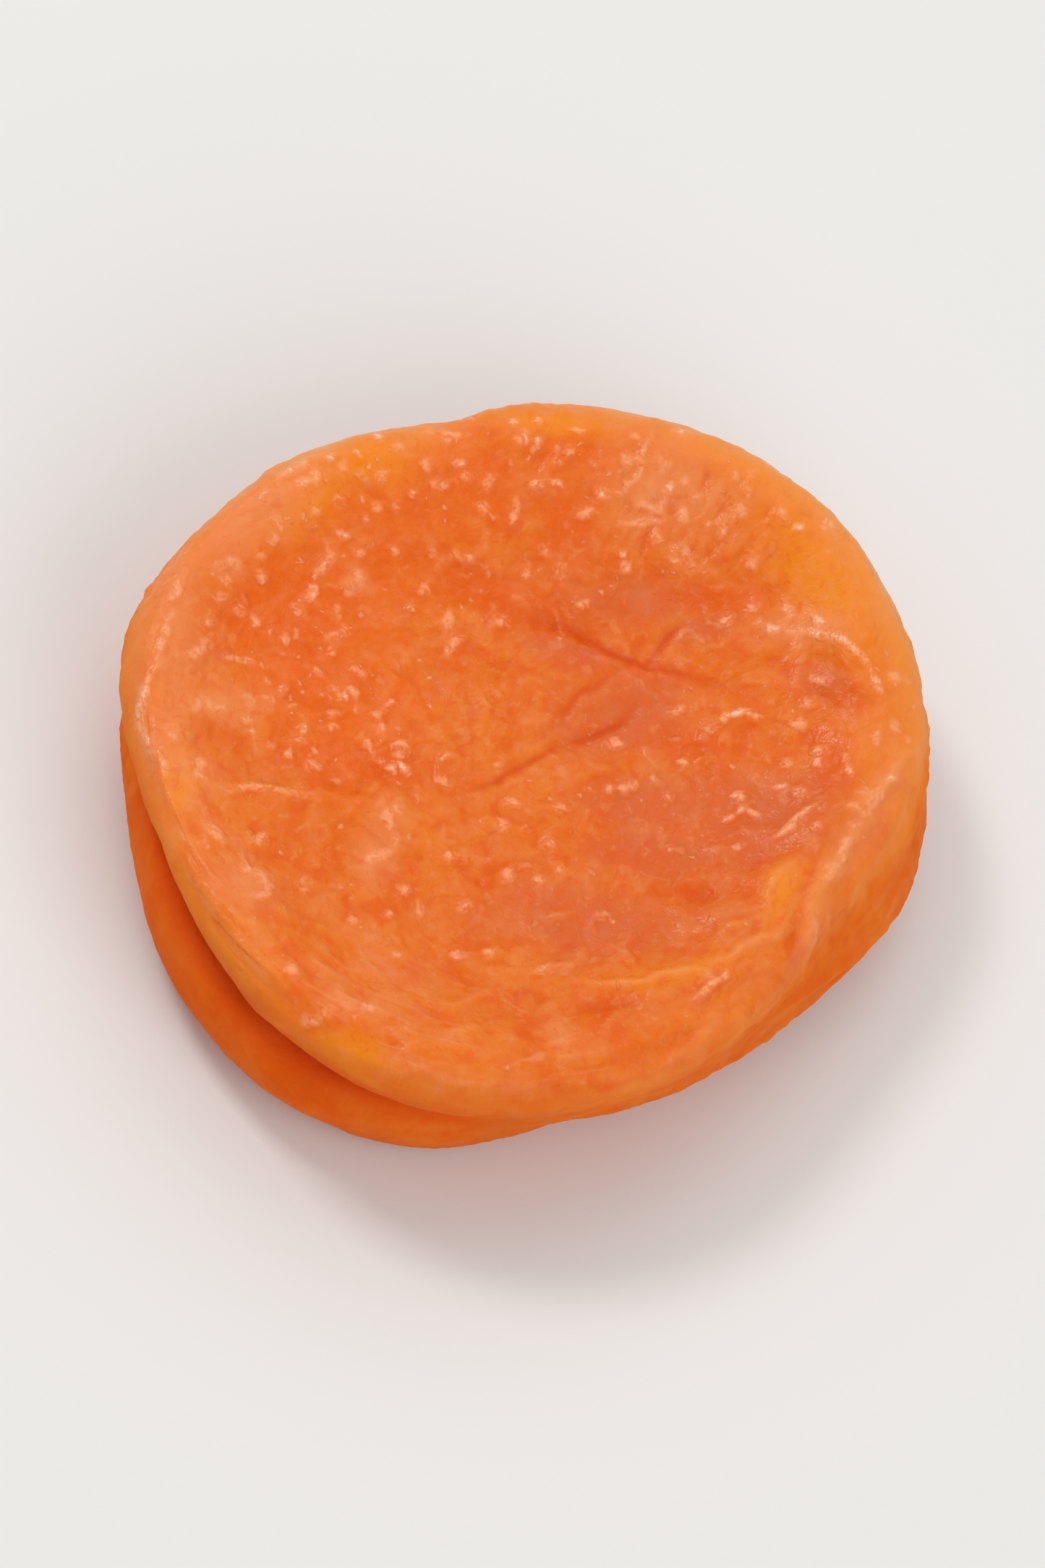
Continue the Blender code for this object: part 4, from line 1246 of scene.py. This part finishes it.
class ApricotFinish(bpy.types.PropertyGroup):
    flesh_colour: colour_property("Flesh", "Most of the face", (0.77, 0.158, 0.010))
    warm_colour: colour_property("Warm flesh", "Patches of the face", (0.80, 0.192, 0.014))
    rim_colour: colour_property("Rim", "The top of the rim", (0.85, 0.225, 0.024))
    amber_colour: colour_property("Amber", "Clear patches near the rim", (0.87, 0.262, 0.006))
    # Painted light: the paler colour where light catches the outer side of the rim
    pale_colour: colour_property("Pale rim", "The outer side of the rim", (0.85, 0.325, 0.085))
    gold_colour: colour_property("Gold", "The thin edge of the rim", (0.95, 0.262, 0.008))
    # Deeper flesh, and painted shade in valleys, sunken lines and along creases
    deep_colour: colour_property("Deep", "Sunken parts of the face", (0.76, 0.112, 0.004))
    grain_colour: colour_property("Grain", "The grained patches", (0.82, 0.138, 0.005))
    # Painted shade on the wall and the lower lobe, below the rim
    lobe_colour: colour_property("Lobe", "The wall and the lower lobe", (0.73, 0.102, 0.002))
    # Painted shade in the bottoms of creases and in the groove
    shade_in_hollows_colour: colour_property("Hollow", "The bottoms of creases and the groove", (0.71, 0.072, 0.002))
    # Painted highlight on the tops of ridges and fine wrinkles
    crest_colour: colour_property("Crest", "The tops of ridges", (0.87, 0.31, 0.09))
    # Painted highlight on the tops of beads, dots, threads and wet marks
    bead_colour: colour_property("Beads", "The tops of beads and dots", (0.93, 0.37, 0.16))
    # Painted highlight, near white, on the brightest wet marks
    glint_colour: colour_property("Glints", "The brightest wet marks", (0.98, 0.56, 0.38))
    # Painted sheen: the paler colour of sheen on the face
    haze_colour: colour_property("Haze", "Pale places of the face", (0.84, 0.258, 0.078))
    # Painted rosy sheen on flat places of the face
    bloom_colour: colour_property("Bloom", "Rosy places of the face", (0.67, 0.120, 0.030))
    roughness_low: factor_property("Roughness, low", "On the glossiest places", 0.32)
    roughness_high: factor_property("Roughness, high", "On the dullest places", 0.52)
    wall_roughness: factor_property("Wall roughness", "Added on the sides and below", 0.4)
    thread_share: share_property("Threads", "Height of the threads", 1.5)
    net_share: share_property("Net", "Depth of the net of lines", 0.8)
    pore_share: share_property("Pores", "Height of the pores", 0.5)
    fleck_share: share_property("Flecks", "Height of the flecks", 1.6)
    dot_share: share_property("Dots", "Height of the dots", 1.2)
    soft_share: share_property("Grain", "Height of the grain", 2.8)
    bump_distance: length_property("Bump", "Height of the finest relief", 0.00004, precision=6)
    glow_weight: factor_property("Glow", "Share of light that goes into the flesh", 0.42)
    glow_colour: FloatVectorProperty(
        name="Glow reach", description="How far each colour goes, as shares of the depth", size=3,
        default=(1.0, 0.32, 0.10),
    )
    glow_depth: length_property("Glow depth", "How deep light goes", 0.0020, precision=5)
    coat_roughness: factor_property("Syrup roughness", "Of the glossy film", 0.2)


class ApricotStage(bpy.types.PropertyGroup):
    floor_size: length_property("Floor", "Width of the floor", 3.0)
    floor_colour: colour_property("Floor", "The pale floor", (0.80, 0.79, 0.77))
    view_azimuth: angle_property("View azimuth", "Where the camera stands, from -Y", -20)
    view_elevation: angle_property("View elevation", "How high the camera stands", 60)
    view_distance: length_property("View distance", "From the camera to the fruit", 1.2)
    view_share: factor_property("View share", "Share of the picture's width that the fruit fills", 0.8)
    sky_strength: FloatProperty(name="Sky", description="Strength of the even white light", default=0.52)
    key_power: power_property("Key light", 3.4)
    key_size: length_property("Key size", "Width of the key light", 0.25)
    soft_power: power_property("Soft light", 2.85)
    soft_size: length_property("Soft size", "Width of the soft light", 0.95)
    fill_power: power_property("Fill light", 4.5)
    fill_size: length_property("Fill size", "Width of the fill light", 0.9)


class APRICOT_OT_skin(bpy.types.Operator):
    """Make the wrinkled skin of the fruit"""

    bl_idname = "apricot.skin"
    bl_label = "Make the skin"
    bl_options = {"REGISTER", "UNDO"}

    def execute(self, context):
        look = context.scene.apricot_skin
        mesh = ball_mesh(PIECE, look.cells)
        shape_skin(mesh, look)
        mesh.shade_smooth()
        mesh.materials.append(skin_material(context.scene.apricot_finish))
        piece = new_object(PIECE, mesh)
        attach(piece, BODY)
        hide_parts(NODE)
        return {"FINISHED"}


def make_floor(stage):
    sheet = bmesh.new()
    bmesh.ops.create_grid(sheet, x_segments=1, y_segments=1, size=stage.floor_size / 2)
    mesh = bpy.data.meshes.new("floor")
    sheet.to_mesh(mesh)
    sheet.free()
    material, shader = new_material("pale_floor")
    shader.inputs["Base Color"].default_value = opaque(stage.floor_colour)
    shader.inputs["Roughness"].default_value = FLOOR_ROUGHNESS
    shader.inputs["Specular IOR Level"].default_value = FLOOR_GLOSS
    mesh.materials.append(material)
    floor = new_object("floor", mesh)


def make_sky(stage):
    world = bpy.data.worlds.new("studio")
    world.use_nodes = True
    sky = world.node_tree.nodes["Background"]
    sky.inputs["Color"].default_value = opaque(WHITE)
    sky.inputs["Strength"].default_value = stage.sky_strength
    bpy.context.scene.world = world


def aimed(place, target, up):
    """A matrix at a place that looks at a target, with a direction shown upright."""
    back = (place - target).normalized()
    right = up.cross(back).normalized()
    columns = Matrix((right, back.cross(right), back)).transposed().to_4x4()
    columns.translation = place
    return columns


def make_lights(stage):
    """Square lights that face the fruit."""
    for name, place in LIGHT_PLACES.items():
        light = bpy.data.lights.new(name, "AREA")
        light.shape = "SQUARE"
        light.size = getattr(stage, f"{name}_size")
        light.energy = getattr(stage, f"{name}_power")
        lamp = new_object(name, light)
        lamp.matrix_world = aimed(Vector(place), Vector((0.0, 0.0, 0.0)), Vector((0.0, 0.0, 1.0)))


def make_camera(stage):
    """The camera looks down on the face at the angle of the photograph, with the fruit's +Y upwards."""
    low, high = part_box(NODE)
    middle = (low + high) / 2
    turn, lift = stage.view_azimuth, stage.view_elevation
    back = Vector((math.sin(turn) * math.cos(lift), -math.cos(turn) * math.cos(lift), math.sin(lift)))
    camera = new_object("camera", bpy.data.cameras.new("camera"))
    camera.matrix_world = aimed(middle + back * stage.view_distance, middle, Vector((0.0, 1.0, 0.0)))
    width, height = PICTURE_SIZE
    view_width = (high - low).x / stage.view_share
    camera.data.sensor_width = SENSOR_WIDTH
    camera.data.lens = SENSOR_WIDTH * width / height * stage.view_distance / view_width
    bpy.context.scene.camera = camera


class APRICOT_OT_stage(bpy.types.Operator):
    """Make the floor, the lights and the camera"""

    bl_idname = "apricot.stage"
    bl_label = "Make the stage"
    bl_options = {"REGISTER", "UNDO"}

    def execute(self, context):
        stage = context.scene.apricot_stage
        make_floor(stage)
        make_sky(stage)
        make_lights(stage)
        make_camera(stage)
        context.scene.view_settings.view_transform = "Standard"
        return {"FINISHED"}


class VIEW3D_PT_apricot(bpy.types.Panel):
    bl_label = "Dried apricot"
    bl_space_type = "VIEW_3D"
    bl_region_type = "UI"
    bl_category = "Apricot"

    def draw(self, context):
        scene = context.scene
        for operator, group in (
            (APRICOT_OT_skin, scene.apricot_skin),
            (None, scene.apricot_finish),
            (APRICOT_OT_stage, scene.apricot_stage),
        ):
            box = self.layout.box()
            if operator:
                box.operator(operator.bl_idname)
            for name in group.__annotations__:
                box.prop(group, name)


CLASSES = (
    ApricotSkin,
    ApricotFinish,
    ApricotStage,
    APRICOT_OT_skin,
    APRICOT_OT_stage,
    VIEW3D_PT_apricot,
)


def register():
    for item in CLASSES:
        bpy.utils.register_class(item)
    bpy.types.Scene.apricot_skin = PointerProperty(type=ApricotSkin)
    bpy.types.Scene.apricot_finish = PointerProperty(type=ApricotFinish)
    bpy.types.Scene.apricot_stage = PointerProperty(type=ApricotStage)


def unregister():
    del bpy.types.Scene.apricot_stage
    del bpy.types.Scene.apricot_finish
    del bpy.types.Scene.apricot_skin
    for item in reversed(CLASSES):
        bpy.utils.unregister_class(item)


def main():
    register()
    bpy.ops.apricot.skin()
    bpy.ops.apricot.stage()


if __name__ == "__main__":
    main()
